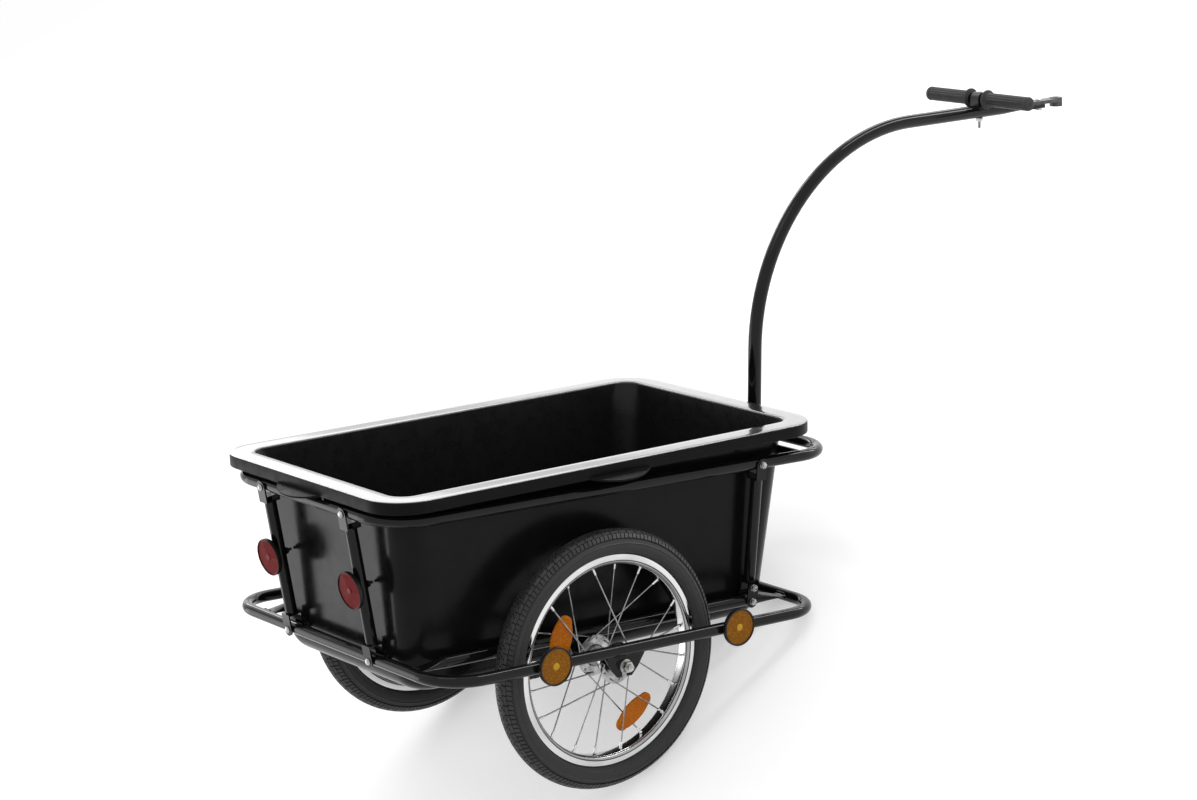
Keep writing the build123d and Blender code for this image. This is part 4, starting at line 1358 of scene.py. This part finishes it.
@dataclass(frozen=True)
class RoundReflector:
    """A round prismatic lens in a black cup; it faces +Z from its seat at Z = 0."""

    mount: Mount
    radius: float = 28.5 * MM
    thick: float = 9.0 * MM
    recess: float = 1.2 * MM
    pitch: float = 2.0 * MM
    facet: float = 0.6 * MM

    @property
    def lip(self) -> float:
        """The width of the cup's lip round the lens."""
        return (1.2 if self.mount is Mount.REAR else 2.5) * MM

    @property
    def boss_length(self) -> float:
        """How far the cup stands off its seat."""
        return 3.6 * MM if self.mount is Mount.REAR else 0.0

    def cup(self, draft: Draft, place: Matrix) -> None:
        """Draw the black cup, and the bolt through the post behind a rear one.

        Args:
            draft: Where to draw it.
            place: The frame it is drawn in.
        """
        r = self.radius
        back = self.boss_length
        front = back + self.thick
        lens = front - self.recess
        profile: Profile = [(back, 7.0 * MM), (back, r - 4.0 * MM), (
            back + 0.9 * MM, r - 1.9 * MM
        ), (back + 2.6 * MM, r - 0.5 * MM)]
        profile += [(back + 4.0 * MM, r), (front - 0.7 * MM, r), (front, r - 0.7 * MM), (
            front, r - self.lip + 0.5 * MM
        )]
        profile += [(front - 0.4 * MM, r - self.lip), (lens - 0.6 * MM, r - self.lip)]
        if self.mount is Mount.REAR:
            profile.insert(0, (0.0, 7.0 * MM))
        draft.turned(profile, place, 64, 0)
        if self.mount is Mount.REAR:
            post = 2 * LAYOUT.tube_r
            draft.turned([
                (0.2 * MM, 5.5 * MM), (-1.0 * MM, 5.5 * MM)
            ], place @ Matrix.Translation((0, 0, -post - 0.4 * MM)), 20, 0)
            behind = place @ Matrix.Translation((0, 0, -post - 1.4 * MM)) @ Matrix.Rotation(math.pi, 4, "X")
            draft.hex_nut(5.0 * MM, 3.6 * MM, behind)
            draft.threads(2.5 * MM, 3.0 * MM, 9.5 * MM, behind)

    def lens(self, draft: Draft, place: Matrix) -> None:
        """Draw the lens as small prisms in three sectors that meet at its centre.

        Args:
            draft: Where to draw it.
            place: The frame it is drawn in.
        """
        front = self.boss_length + self.thick
        base = front - self.recess - self.facet
        limit = self.radius - self.lip - 0.2 * MM
        draft.turned([(base - 0.5 * MM, limit), (base + 0.1 * MM, limit)], place, 64, 1)
        reach = int(limit / self.pitch) + 2
        for sector in range(3):
            turn = place @ Matrix.Rotation(math.radians(120.0 * sector), 4, "Z")
            for i in range(-reach, reach):
                for j in range(-reach, reach):
                    self.prism_cell(draft, turn, i, j, base, limit)
        boss: Profile = [(base, 5.6 * MM), (
            front - 1.0 * MM, 5.4 * MM
        ), (front - 0.4 * MM, 4.6 * MM), (front - 0.1 * MM, 2.6 * MM)]
        draft.turned(boss, place, 32, 2)

    def grid_point(self, u: float, v: float) -> tuple[float, float]:
        """Where a point of the prisms' skewed grid lies."""
        return (u + v * 0.5) * self.pitch, v * 0.866 * self.pitch

    def prism_cell(self, draft: Draft, place: Matrix, i: int, j: int, base: float, limit: float) -> None:
        """Draw one prism if it lies in the sector about the X axis.

        Args:
            draft: Where to draw it.
            place: The sector's frame.
            i: The cell's number along the skewed rows.
            j: Its number across them.
            base: The height of its foot.
            limit: The lens's radius.
        """
        p = self.pitch
        x, y = self.grid_point(i + 0.5, j + 0.5)
        far = math.hypot(x, y)
        if far > limit - 0.75 * p or far < 5.4 * MM or abs(math.atan2(y, x)) > math.pi / 3:
            return
        low = [Vector((*self.grid_point(i + u, j + v), base)) for u, v in ((0, 0), (1, 0), (1, 1), (0, 1))]
        tip = Vector((*self.grid_point(i + 0.4, j + 0.4), base + self.facet))
        draft.add([*low, tip], [[0, 1, 4], [1, 2, 4], [2, 3, 4], [3, 0, 4]], place, 1)

    def build(self, name: str, places: list[Matrix], nodes: list[str]) -> None:
        """Make the reflectors as one piece.

        Args:
            name: The piece's name.
            places: Each one's seat.
            nodes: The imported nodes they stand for.
        """
        lens, boss = (Finishes.RED, Finishes.RED) if self.mount is Mount.REAR else (
            Finishes.AMBER, Finishes.AMBER_BOSS
        )
        draft = Draft()
        for place in places:
            self.cup(draft, place)
            self.lens(draft, place)
        piece = draft.piece(name, Body.TRAILER, [Finishes.HOUSING, lens, boss], 12.0)
        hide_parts(*nodes)


@dataclass(frozen=True)
class SpokeReflectors:
    """The two leaning oval reflectors between a wheel's layers of spokes."""

    wheel: Wheel
    length: float = 73.0 * MM
    width: float = 32.0 * MM
    end_width: float = 21.0 * MM
    thick: float = 6.0 * MM
    # degrees round the wheel, radius, aside, turn and lean in degrees
    spots: tuple[tuple[float, float, float, float, float], ...] = (
        (152.6, 94.5, 2.6, 11.6, 20.0),
        (-60.2, 102.9, 1.2, 5.9, 2.0),
    )

    def draw(self, draft: Draft, place: Matrix) -> None:
        """Draw one: a rimmed plate, raised lens panels on both faces, end clips and fine ribs.

        Args:
            draft: Where to draw it.
            place: The frame it is drawn in.
        """
        half = self.thick / 2
        outline = oval(self.length, self.width, self.end_width)
        draft.prism(outline, -half + 0.7 * MM, half - 0.7 * MM, place, 0.8 * MM, 0)
        panel = [(x * 0.9, y) for x, y in inset(outline, 2.0 * MM)]
        panel = [(x, y) for x, y in panel if abs(x) < self.length / 2 - 12.5 * MM]
        for way in (0.0, math.pi):
            face = place @ Matrix.Rotation(way, 4, "X")
            draft.prism(panel, half - 1.0 * MM, half - 0.25 * MM, face, 0.35 * MM, 1)
            for k in range(-9, 10):
                x = k * 2.2 * MM
                reach = (self.width / 2 - 3.4 * MM) * (1 - (abs(x) / self.length) ** 2 * 2.4)
                rib = [(
                    x - 0.75 * MM, -reach
                ), (x + 0.75 * MM, -reach), (x + 0.75 * MM, reach), (x - 0.75 * MM, reach)]
                draft.prism(rib, half - 0.5 * MM, half, face, 0.24 * MM, 1)
            for end in (-1, 1):
                self.clip(draft, face, end * (self.length / 2 - 9.0 * MM), half)

    def clip(self, draft: Draft, place: Matrix, x: float, half: float) -> None:
        """Draw the ring clip that holds one end to a spoke.

        Args:
            draft: Where to draw it.
            place: The frame it is drawn in.
            x: Where it is along the reflector.
            half: Half the thickness of the reflector.
        """
        ring: Profile = [
            (half - 1.2 * MM, 6.6 * MM), (half - 0.3 * MM, 6.6 * MM), (half, 6.2 * MM), (half, 4.6 * MM)
        ]
        ring += [(half - 0.3 * MM, 4.2 * MM), (half - 1.2 * MM, 4.2 * MM)]
        draft.turned(ring, place @ Matrix.Translation((x, 0, 0)), 28, 0, loop=True)
        draft.turned([
            (half - 1.0 * MM, 3.0 * MM), (half - 0.4 * MM, 2.6 * MM)
        ], place @ Matrix.Translation((x, 0, 0)), 20, 0)

    def build(self) -> None:
        """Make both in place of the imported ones."""
        draft = Draft()
        for angle, radius, aside, turn, lean in self.spots:
            place = self.wheel.place @ Matrix.Translation((0, 0, aside * MM))
            place = place @ Matrix.Rotation(
                math.radians(angle), 4, "Z"
            ) @ Matrix.Translation((radius * MM, 0, 0))
            place = place @ Matrix.Rotation(
                math.radians(90.0 + turn), 4, "Z"
            ) @ Matrix.Rotation(math.radians(lean), 4, "X")
            self.draw(draft, place)
        piece = self.wheel.make(draft, "spoke_reflector_lenses", [Finishes.ORANGE, Finishes.ORANGE], 25.0)
        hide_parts(self.wheel.named("spoke_reflectors"))


# ---------------------------------------------------------------- frame
@dataclass(frozen=True)
class Post:
    """One of the four posts: its bolt centres and the way of the tubes that its brackets straddle."""

    low: Vector
    high: Vector
    along: Vector
    out: Vector

    @classmethod
    def rear(cls, side: Side) -> "Post":
        """The post behind the tub, from the loop's rear tube to the hoop.

        Args:
            side: Which of the two.

        Returns:
            The post.
        """
        y = side.value * LAYOUT.rear_post_y
        low = Vector((LAYOUT.loop_rear_x, y, LAYOUT.loop_z))
        return cls(
            low, Vector((LAYOUT.hoop_rear_x, y, LAYOUT.hoop_z)), Vector((0, 1, 0)), Vector((-1, 0, 0))
        )

    @classmethod
    def beside(cls, side: Side) -> "Post":
        """The post beside the tub, from the inner tube to the hoop.

        Args:
            side: Which of the two.

        Returns:
            The post.
        """
        low = Vector((LAYOUT.side_post_x, side.value * LAYOUT.inner_y, LAYOUT.inner_z))
        high = Vector((LAYOUT.side_post_x, side.value * LAYOUT.hoop_y, LAYOUT.hoop_z))
        return cls(low, high, Vector((1, 0, 0)), Vector((0, side.value, 0)))

    @property
    def frames(self) -> tuple[Matrix, Matrix]:
        """The frames at both bolts: Z along the post to its middle, X along the straddled tube."""
        way = (self.high - self.low).normalized()
        return facing(self.low, way, self.along), facing(self.high, -way, self.along)

    def out_of(self, frame_at: Matrix) -> float:
        """Whether a frame's Y points outwards, 1, or inwards, -1."""
        return 1.0 if frame_at.col[1].to_3d().dot(self.out) > 0 else -1.0


@dataclass(frozen=True)
class Fasteners:
    """The bolts and nuts of the posts, the drawbar and the coupling."""

    face: float = 11.9 * MM
    head_r: float = 5.5 * MM
    nut_height: float = 4.5 * MM
    thin_nut: float = 3.5 * MM
    bolt_r: float = 3.0 * MM
    second_bolt_up: float = 22.0 * MM
    tongue_bolt_back: float = 10.0 * MM
    tongue_top: float = 4.2 * MM
    tongue_under: float = 8.1 * MM

    def head(self, draft: Draft, place: Matrix) -> None:
        """A domed head with a small flat.

        Args:
            draft: Where to draw it.
            place: The frame it is drawn in.
        """
        profile: Profile = [
            (0.0, 5.0), (0.0, 5.45), (0.5, 5.5), (1.3, 5.3), (2.3, 4.5), (3.1, 3.1), (3.45, 1.8), (3.5, 0.8)
        ]
        draft.turned(mm(profile), place, 28)

    def nut_and_tail(self, draft: Draft, place: Matrix) -> None:
        """A hexagon nut with the bolt's threaded end through it.

        Args:
            draft: Where to draw it.
            place: The frame it is drawn in.
        """
        draft.turned([(0.0, 5.3 * MM), (0.5 * MM, 5.5 * MM), (0.6 * MM, 5.2 * MM)], place, 24)
        draft.hex_nut(self.head_r, self.nut_height, place @ Matrix.Rotation(math.radians(8), 4, "Z"))
        draft.threads(self.bolt_r, self.nut_height - 1.0 * MM, self.nut_height + 2.5 * MM, place)

    def through(self, draft: Draft, post: Post, at: Matrix, up: float, nut_out: bool) -> None:
        """Draw both ends of one of a post's bolts.

        Args:
            draft: Where to draw them.
            post: The post.
            at: The frame at its bolt.
            up: How far up the post it is.
            nut_out: Whether the nut faces outwards.
        """
        centre = at @ Vector((0, 0, up))
        across = at.col[1].to_3d() * post.out_of(at)
        outer = facing(centre + across * self.face, across)
        inner = facing(centre - across * self.face, -across)
        if nut_out:
            self.head(draft, inner)
            self.nut_and_tail(draft, outer)
        else:
            self.head(draft, outer)
            draft.hex_nut(self.head_r, self.thin_nut, inner)

    def tongue_bolt(self, draft: Draft) -> None:
        """Draw the bolt that holds the tongue on the drawbar's flat end.

        Args:
            draft: Where to draw it.
        """
        at = LAYOUT.run_length - self.tongue_bolt_back
        over = LAYOUT.run @ Matrix.Translation((at, 0, self.tongue_top))
        under = LAYOUT.run @ Matrix.Translation(
            (at, 0, -self.tongue_under)
        ) @ Matrix.Rotation(math.pi, 4, "X")
        self.head(draft, over)
        draft.hex_nut(6.5 * MM, self.nut_height, under)

    def build(self) -> None:
        """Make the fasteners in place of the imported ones."""
        draft = Draft()
        for side in Side:
            post = Post.rear(side)
            for at in post.frames:
                self.through(draft, post, at, 0.0, False)
            post = Post.beside(side)
            foot, top = post.frames
            self.through(draft, post, foot, 0.0, True)
            self.through(draft, post, foot, self.second_bolt_up, True)
            self.through(draft, post, top, 0.0, True)
        front = Vector((LAYOUT.drawbar_x + LAYOUT.drawbar_r + 0.1 * MM, 0, LAYOUT.hoop_z))
        self.head(draft, facing(front, Vector((1, 0, 0))))
        foot_top = LAYOUT.loop_z + LAYOUT.tube_r + LAYOUT.seat_gap + 6.1 * MM
        self.head(draft, facing(Vector((LAYOUT.loop_front_x, 0, foot_top)), Vector((0, 0, 1))))
        self.tongue_bolt(draft)
        piece = draft.piece("frame_bolt_heads", Body.TRAILER, [Finishes.ZINC], 30.0)
        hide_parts("frame_bolts")


@dataclass(frozen=True)
class Welds:
    """Rippled weld beads where tubes and plates join."""

    bead_r: float = 1.7 * MM
    ripple: float = 0.25 * MM
    spacing: float = 1.3 * MM
    plate_half: float = 34.0 * MM
    plate_side: float = 2.4 * MM
    end_z: float = 26.5 * MM
    end_side: float = 3.2 * MM
    end_half: float = 9.0 * MM

    def bead(self, draft: Draft, path: list[Vector], seed: int) -> None:
        """Draw a bead along a path.

        Args:
            draft: Where to draw it.
            path: Close points along its middle.
            seed: Varies its ripples.
        """
        rng = random.Random(seed)
        rings = []
        last = len(path) - 1
        for k, point in enumerate(path):
            way = path[min(k + 1, last)] - path[max(k - 1, 0)]
            radius = self.bead_r * (
                0.35 if k in (0, last) else 1.0
            ) + self.ripple * (1 if k % 2 else -1) * rng.uniform(0.6, 1.2)
            at = facing(point, way)
            rings.append([at @ Vector(
                (radius * math.cos(a), radius * math.sin(a), 0)
            ) for a in (math.pi / 5 * i for i in range(10))])
        draft.rings(rings)

    def straight(self, draft: Draft, start: Vector, end: Vector, seed: int) -> None:
        """Draw a bead from one point to another."""
        count = max(4, int((end - start).length / self.spacing))
        self.bead(draft, [start.lerp(end, k / count) for k in range(count + 1)], seed)

    def build(self) -> None:
        """Make the beads at the axle plates and the inner tubes' ends."""
        draft = Draft()
        half = self.plate_half
        for side in Side:
            for y, z in ((LAYOUT.loop_y, LAYOUT.loop_z), (LAYOUT.inner_y, LAYOUT.inner_z)):
                for way in (-1, 1):
                    at_y = side.value * y + way * self.plate_side
                    at_z = z - LAYOUT.tube_r + 0.2 * MM
                    self.straight(
                        draft, Vector((-half, at_y, at_z)), Vector((half, at_y, at_z)), int(y * 1000) + way
                    )
            y = side.value * LAYOUT.inner_y
            for x, way in ((LAYOUT.loop_rear_x, 1), (LAYOUT.loop_front_x, -1)):
                for up in (-1, 1):
                    at = Vector((x + way * (LAYOUT.tube_r + 0.4 * MM), y, self.end_z + up * self.end_side))
                    wide = Vector((0, self.end_half, 0))
                    self.straight(draft, at - wide, at + wide, int(x * 1000) + up)
        draft.piece("weld_beads", Body.TRAILER, [Finishes.PAINT], 60.0)


@dataclass(frozen=True)
class AxleNuts:
    """The raised washers under the nuts of a wheel's fixed axle."""

    side: Side
    seat_y: float = 46.2 * MM

    def build(self) -> None:
        """Make the washers at both ends of the axle."""
        draft = Draft()
        middle = Vector((0.0, self.side.value * LAYOUT.wheel_y, 0.0))
        for way in (-1, 1):
            seat = facing(middle + Vector((0, way * self.seat_y, 0)), Vector((0, way, 0)))
            ring: Profile = [(2.0, 8.6), (2.25, 10.2), (2.4, 10.0), (2.5, 8.0)]
            draft.turned(mm(ring), seat, 36)
        draft.piece(f"axle_washer_{self.side.word}", Body.TRAILER, [Finishes.ZINC], 30.0)


@dataclass(frozen=True)
class Handle:
    """The T-handle's rubber grips, its saddle and the upright bolt of its clamp."""

    at: float = 160.0 * MM
    bar_r: float = 8.0 * MM
    rise: float = 2.2 * MM
    grip_start: float = 18.0 * MM
    grip_end: float = 118.0 * MM
    grip_r: float = 11.7 * MM
    flange_r: float = 16.0 * MM
    bump_pitch: float = 4.4 * MM
    bump_rows: int = 16
    bump_height: float = 1.1 * MM

    def bar_frame(self, way: int) -> Matrix:
        """A frame on the cross bar with Z outwards along it."""
        middle = LAYOUT.run @ Matrix.Translation((self.at, 0, LAYOUT.drawbar_r + self.rise + self.bar_r))
        return middle @ Matrix.Rotation(-way * math.pi / 2, 4, "X")

    def grip(self, side: Side) -> None:
        """Make a grip with its flange, rounded end and grid of bumps, the bumps with a painted highlight.

        Args:
            side: Which of the two.
        """
        draft = Draft()
        place = self.bar_frame(side.value)
        core = self.grip_r - self.bump_height
        start, end = self.grip_start, self.grip_end
        profile: Profile = [(start, 8.4 * MM), (start, 14.9 * MM), (start + 0.5 * MM, 15.7 * MM), (
            start + 1.3 * MM, self.flange_r
        )]
        profile += [(
            start + 2.8 * MM, self.flange_r
        ), (start + 3.6 * MM, 15.5 * MM), (start + 4.0 * MM, 14.6 * MM), (start + 4.6 * MM, 12.4 * MM)]
        profile += [(
            start + 6.0 * MM, core + 0.3 * MM
        ), (start + 7.5 * MM, core), (end - 8.5 * MM, core), (end - 8.0 * MM, self.grip_r)]
        profile += [(
            end - 3.4 * MM, self.grip_r
        ), (end - 1.7 * MM, 11.1 * MM), (end - 0.5 * MM, 9.8 * MM), (end, 8.0 * MM)]
        profile += [(end, 3.4 * MM), (
            end - 0.7 * MM, 3.0 * MM
        ), (end - 0.7 * MM, 1.8 * MM), (end - 0.1 * MM, 1.4 * MM)]
        draft.turned(profile, place, 48)
        count = int((end - start - 18.0 * MM) / self.bump_pitch)
        for k in range(count):
            z = start + 10.0 * MM + self.bump_pitch * (k + 0.5)
            for row in range(self.bump_rows):
                around = place @ Matrix.Rotation(2 * math.pi * (row + 0.5) / self.bump_rows, 4, "Z")
                at = around @ facing(Vector((core - 0.15 * MM, 0, z)), Vector((1, 0, 0)), Vector((0, 0, 1)))
                low = [(-1.55, -1.45), (1.55, -1.45), (1.55, 1.45), (-1.55, 1.45)]
                levels = ((0.0, 1.0), (0.9 * MM, 0.84), (1.2 * MM, 0.55))
                # Mark 1: the bumps take the lighter rubber, a painted highlight.
                draft.rings(
                    [[Vector((x * MM * s, y * MM * s, h)) for x, y in low] for h, s in levels], at, 1
                )
        piece = draft.piece(f"grip_{side.word}", Body.TRAILER, [Finishes.GRIP, Finishes.GRIP_BUMP], 40.0)
        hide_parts(f"handle_grip_{side.word}")

    def clamp_bolt(self) -> None:
        """Make the nut and threaded end below the drawbar, and the cap on the saddle."""
        draft = Draft()
        below = LAYOUT.run @ Matrix.Translation(
            (self.at, 0, -LAYOUT.drawbar_r - 0.2 * MM)
        ) @ Matrix.Rotation(math.pi, 4, "X")
        draft.turned([(0.0, 6.6 * MM), (0.9 * MM, 6.7 * MM), (1.1 * MM, 6.2 * MM)], below, 28)
        draft.hex_nut(
            6.5 * MM, 4.8 * MM, below @ Matrix.Translation((0, 0, 0.2 * MM)) @ Matrix.Rotation(0.3, 4, "Z")
        )
        draft.threads(3.0 * MM, 4.0 * MM, 16.8 * MM, below)
        top = self.rise + 2 * self.bar_r + LAYOUT.drawbar_r + 3.4 * MM
        above = LAYOUT.run @ Matrix.Translation((self.at, 0, top))
        draft.turned(mm([(-0.6, 4.6), (0.2, 4.8), (0.6, 4.2)]), above, 24)
        piece = draft.piece("handle_clamp_nut", Body.TRAILER, [Finishes.ZINC], 30.0)
        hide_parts("handle_bolt")

    def saddle(self) -> None:
        """Make the saddle: a strap over the cross bar, two cheeks, and a curved seat on the drawbar."""
        draft = Draft()
        middle = LAYOUT.run @ Matrix.Translation((self.at, 0, LAYOUT.drawbar_r + self.rise + self.bar_r))
        across = middle @ Matrix.Rotation(math.pi / 2, 4, "X")
        inner, outer = self.bar_r + 0.15 * MM, self.bar_r + 3.4 * MM
        foot = -(self.bar_r + self.rise - 0.6 * MM)
        arc = [math.pi * k / 14 for k in range(15)]
        strap = [(outer * math.cos(a), outer * math.sin(a)) for a in arc] + [(-outer, foot), (-inner, foot)]
        strap += [
            (inner * math.cos(a), inner * math.sin(a)) for a in arc[::-1]
        ] + [(inner, foot), (outer, foot)]
        half = 9.0 * MM
        rings = [[Vector((x, y, z)) for x, y in strap] for z in (-half, half)]
        draft.rings(rings, across)
        seat_r = LAYOUT.drawbar_r
        hug = [math.radians(14.0 + 152.0 * k / 14) for k in range(15)]
        seat = [((seat_r + 2.6 * MM) * math.cos(a), (seat_r + 2.6 * MM) * math.sin(a)) for a in hug]
        seat += [
            ((seat_r + 0.15 * MM) * math.cos(a), (seat_r + 0.15 * MM) * math.sin(a)) for a in hug[::-1]
        ]
        on_tube = LAYOUT.run @ Matrix.Translation((self.at, 0, 0)) @ facing(
            Vector(), Vector((1, 0, 0)), Vector((0, 1, 0))
        )
        draft.rings([[Vector((x, y, z)) for x, y in seat] for z in (-12.0 * MM, 12.0 * MM)], on_tube)
        piece = draft.piece("handle_saddle", Body.TRAILER, [Finishes.HOUSING], 30.0)
        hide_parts("handle_clamp")

    def build(self) -> None:
        """Make the handle's pieces."""
        for side in Side:
            self.grip(side)
        self.saddle()
        self.clamp_bolt()


@dataclass(frozen=True)
class Frame:
    """The frame's tubes, posts and plates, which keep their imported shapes."""

    tubes: tuple[str, ...] = (
        "cross_tube", "drawbar", "lower_loop_front", "lower_loop_rear", "upper_hoop", "handle_bar"
    )
    paired: tuple[str, ...] = (
        "axle_plate_inner", "axle_plate_outer", "inner_tube", "rear_post", "side_post"
    )
    side_spots: tuple[float, ...] = (-136.2 * MM, 204.6 * MM)
    side_spot_z: float = 26.5 * MM
    rear_spots: tuple[tuple[Side, float], ...] = ((Side.RIGHT, 135.5 * MM), (Side.LEFT, 141.7 * MM))

    def build(self) -> None:
        """Dress the frame and make its fasteners, welds and reflectors."""
        dress(
            [*self.tubes, *(f"{name}_{side.word}" for name in self.paired for side in Side)], Finishes.PAINT
        )
        dress(["coupling_tongue"], Finishes.TONGUE)
        dress([f"axle_{side.word}" for side in Side], Finishes.ZINC)
        Fasteners().build()
        Welds().build()
        self.reflectors()

    def reflectors(self) -> None:
        """Place the amber reflectors on the loop's sides and the red ones on the rear posts."""
        seat = LAYOUT.tube_r + LAYOUT.seat_gap
        for side in Side:
            y = side.value * (LAYOUT.loop_y + seat)
            out = Vector((0, side.value, 0))
            places = [facing(Vector((x, y, self.side_spot_z)), out) for x in self.side_spots]
            RoundReflector(Mount.SIDE).build(
                f"amber_reflectors_{side.word}", places, [f"side_reflectors_{side.word}"]
            )
        places = []
        for side, height in self.rear_spots:
            foot = Post.rear(side).frames[0]
            back = foot.col[1].to_3d() * Post.rear(side).out_of(foot)
            up = foot.col[2].to_3d()
            origin = foot.translation + up * ((height - LAYOUT.loop_z) / up.z) + back * seat
            places.append(facing(origin, back))
        RoundReflector(Mount.REAR).build("red_reflectors", places, ["rear_reflectors"])


# ---------------------------------------------------------------- studio
@dataclass(frozen=True)
class Panel:
    """A soft light panel: where it stands, what it faces, its size and its power."""

    name: str
    stands: Color
    faces: Color
    width: float
    height: float
    power: float
    along: Color = (0.0, 0.0, 0.0)

    def build(self) -> None:
        """Make the panel; with a direction along its width it stands as the level trailer does."""
        data = bpy.data.lights.new(self.name, "AREA")
        data.shape = "RECTANGLE"
        data.size, data.size_y = self.width, self.height
        data.energy = self.power
        light = bpy.data.objects.new(self.name, data)
        bpy.context.scene.collection.objects.link(light)
        back = Vector(self.stands) - Vector(self.faces)
        if Vector(self.along).length > 0:
            light.matrix_world = PARKED @ facing(Vector(self.stands), back, Vector(self.along))
        else:
            light.matrix_world = facing(Vector(self.stands), back, Vector((0, 0, 1)).cross(back))
        light.visible_camera = False


@dataclass(frozen=True)
class Studio:
    """A plain white floor, soft panels and the camera."""

    floor_size: float = 40.0
    floor_white: float = 0.62
    floor_roughness: float = 0.9
    floor_glow: float = 0.45
    fill: float = 0.85
    camera_stands: Color = (-2.6678, -3.6833, 1.2565)
    camera_azimuth: float = math.radians(-37.658)
    camera_elevation: float = math.radians(11.301)
    lens: float = 92.72
    sensor: float = 36.0
    panels: tuple[Panel, ...] = (
        Panel("rear_panel", (-2.1, 1.9, 0.75), (-0.5, 0.0, 0.3), 1.6, 1.5, 16.0),
        Panel("far_panel", (1.5, 2.6, 1.5), (0.0, 0.0, 0.3), 4.2, 2.6, 44.0),
        Panel("overhead_panel", (-0.2, -0.2, 2.6), (0.0, 0.0, 0.2), 1.0, 1.0, 4.0),
        Panel("long_strip", (1.95, -0.5, 2.2), (0.1, 0.0, 0.1), 2.8, 0.3, 32.0, (1.0, 0.0, 0.0)),
        Panel("low_strip", (2.1, 0.75, 1.75), (0.1, 0.0, 0.1), 2.8, 0.2, 14.0, (1.0, 0.0, 0.0)),
        Panel("cross_strip", (0.35, 2.8, 2.2), (0.1, 0.0, 0.1), 0.3, 2.2, 22.0, (1.0, 0.0, 0.0)),
    )

    def seen_or_mirrored(self, tree: bpy.types.NodeTree) -> bpy.types.NodeSocket:
        """One where the camera looks, directly or by way of metal or a clear piece.

        Args:
            tree: The node tree to add to.

        Returns:
            One for such a ray and nothing for the rays that light the trailer.
        """
        path = tree.nodes.new("ShaderNodeLightPath")
        total: bpy.types.NodeSocket = path.outputs["Is Camera Ray"]
        for ray in ("Is Glossy Ray", "Is Transmission Ray"):
            added = tree.nodes.new("ShaderNodeMath")
            added.operation = "MAXIMUM"
            tree.links.new(total, added.inputs[0])
            tree.links.new(path.outputs[ray], added.inputs[1])
            total = added.outputs["Value"]
        return total

    def floor(self) -> None:
        """Lay the floor."""
        mesh = bpy.data.meshes.new("studio_floor")
        half = self.floor_size / 2
        mesh.from_pydata(
            [(-half, -half, 0), (half, -half, 0), (half, half, 0), (-half, half, 0)], [], [(0, 1, 2, 3)]
        )
        surface = Surface("studio_floor")
        shader = surface.shader.inputs
        shader["Base Color"].default_value = (self.floor_white, self.floor_white, self.floor_white, 1.0)
        shader["Roughness"].default_value = self.floor_roughness
        shader["Specular IOR Level"].default_value = 0.0
        shader["Emission Color"].default_value = (1.0, 1.0, 1.0, 1.0)
        glow = surface.tree.nodes.new("ShaderNodeMath")
        glow.operation = "MULTIPLY"
        glow.inputs[1].default_value = self.floor_glow
        surface.tree.links.new(self.seen_or_mirrored(surface.tree), glow.inputs[0])
        surface.tree.links.new(glow.outputs["Value"], shader["Emission Strength"])
        mesh.materials.append(surface.material)
        floor = bpy.data.objects.new("studio_floor", mesh)
        bpy.context.scene.collection.objects.link(floor)

    def world(self) -> None:
        """White all round for the camera and for reflections, and a softer fill for the rest."""
        world = bpy.data.worlds.new("studio")
        bpy.context.scene.world = world
        world.use_nodes = True
        tree = world.node_tree
        tree.nodes.clear()
        total = self.seen_or_mirrored(tree)
        seen = tree.nodes.new("ShaderNodeBackground")
        seen.inputs["Color"].default_value = (1.0, 1.0, 1.0, 1.0)
        seen.inputs["Strength"].default_value = 1.0
        fill = tree.nodes.new("ShaderNodeBackground")
        fill.inputs["Color"].default_value = (1.0, 1.0, 1.0, 1.0)
        fill.inputs["Strength"].default_value = self.fill
        mixer = tree.nodes.new("ShaderNodeMixShader")
        output = tree.nodes.new("ShaderNodeOutputWorld")
        tree.links.new(total, mixer.inputs["Fac"])
        tree.links.new(fill.outputs["Background"], mixer.inputs[1])
        tree.links.new(seen.outputs["Background"], mixer.inputs[2])
        tree.links.new(mixer.outputs["Shader"], output.inputs["Surface"])

    def camera(self) -> None:
        """Stand the camera as it stood to the level trailer, and turn it with the trailer."""
        data = bpy.data.cameras.new("camera")
        data.lens = self.lens
        data.sensor_width = self.sensor
        camera = bpy.data.objects.new("camera", data)
        bpy.context.scene.collection.objects.link(camera)
        a, e = self.camera_azimuth, self.camera_elevation
        back = Vector((math.sin(a) * math.cos(e), -math.cos(a) * math.cos(e), math.sin(e)))
        right = Vector((0, 0, 1)).cross(back).normalized()
        level = facing(Vector(self.camera_stands), back, right)
        camera.matrix_world = PARKED @ level
        bpy.context.scene.camera = camera

    def build(self) -> None:
        """Make the studio."""
        bpy.context.scene.view_settings.view_transform = "Standard"
        self.floor()
        self.world()
        self.camera()
        for panel in self.panels:
            panel.build()


def main() -> None:
    """Build the studio and every piece."""
    logging.basicConfig(level=logging.INFO, format="%(name)s: %(message)s")
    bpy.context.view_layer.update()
    Studio().build()
    Frame().build()
    Tub().build()
    for side in Side:
        Wheel(side).build()
        AxleNuts(side).build()
    Handle().build()


if __name__ == "__main__":
    main()
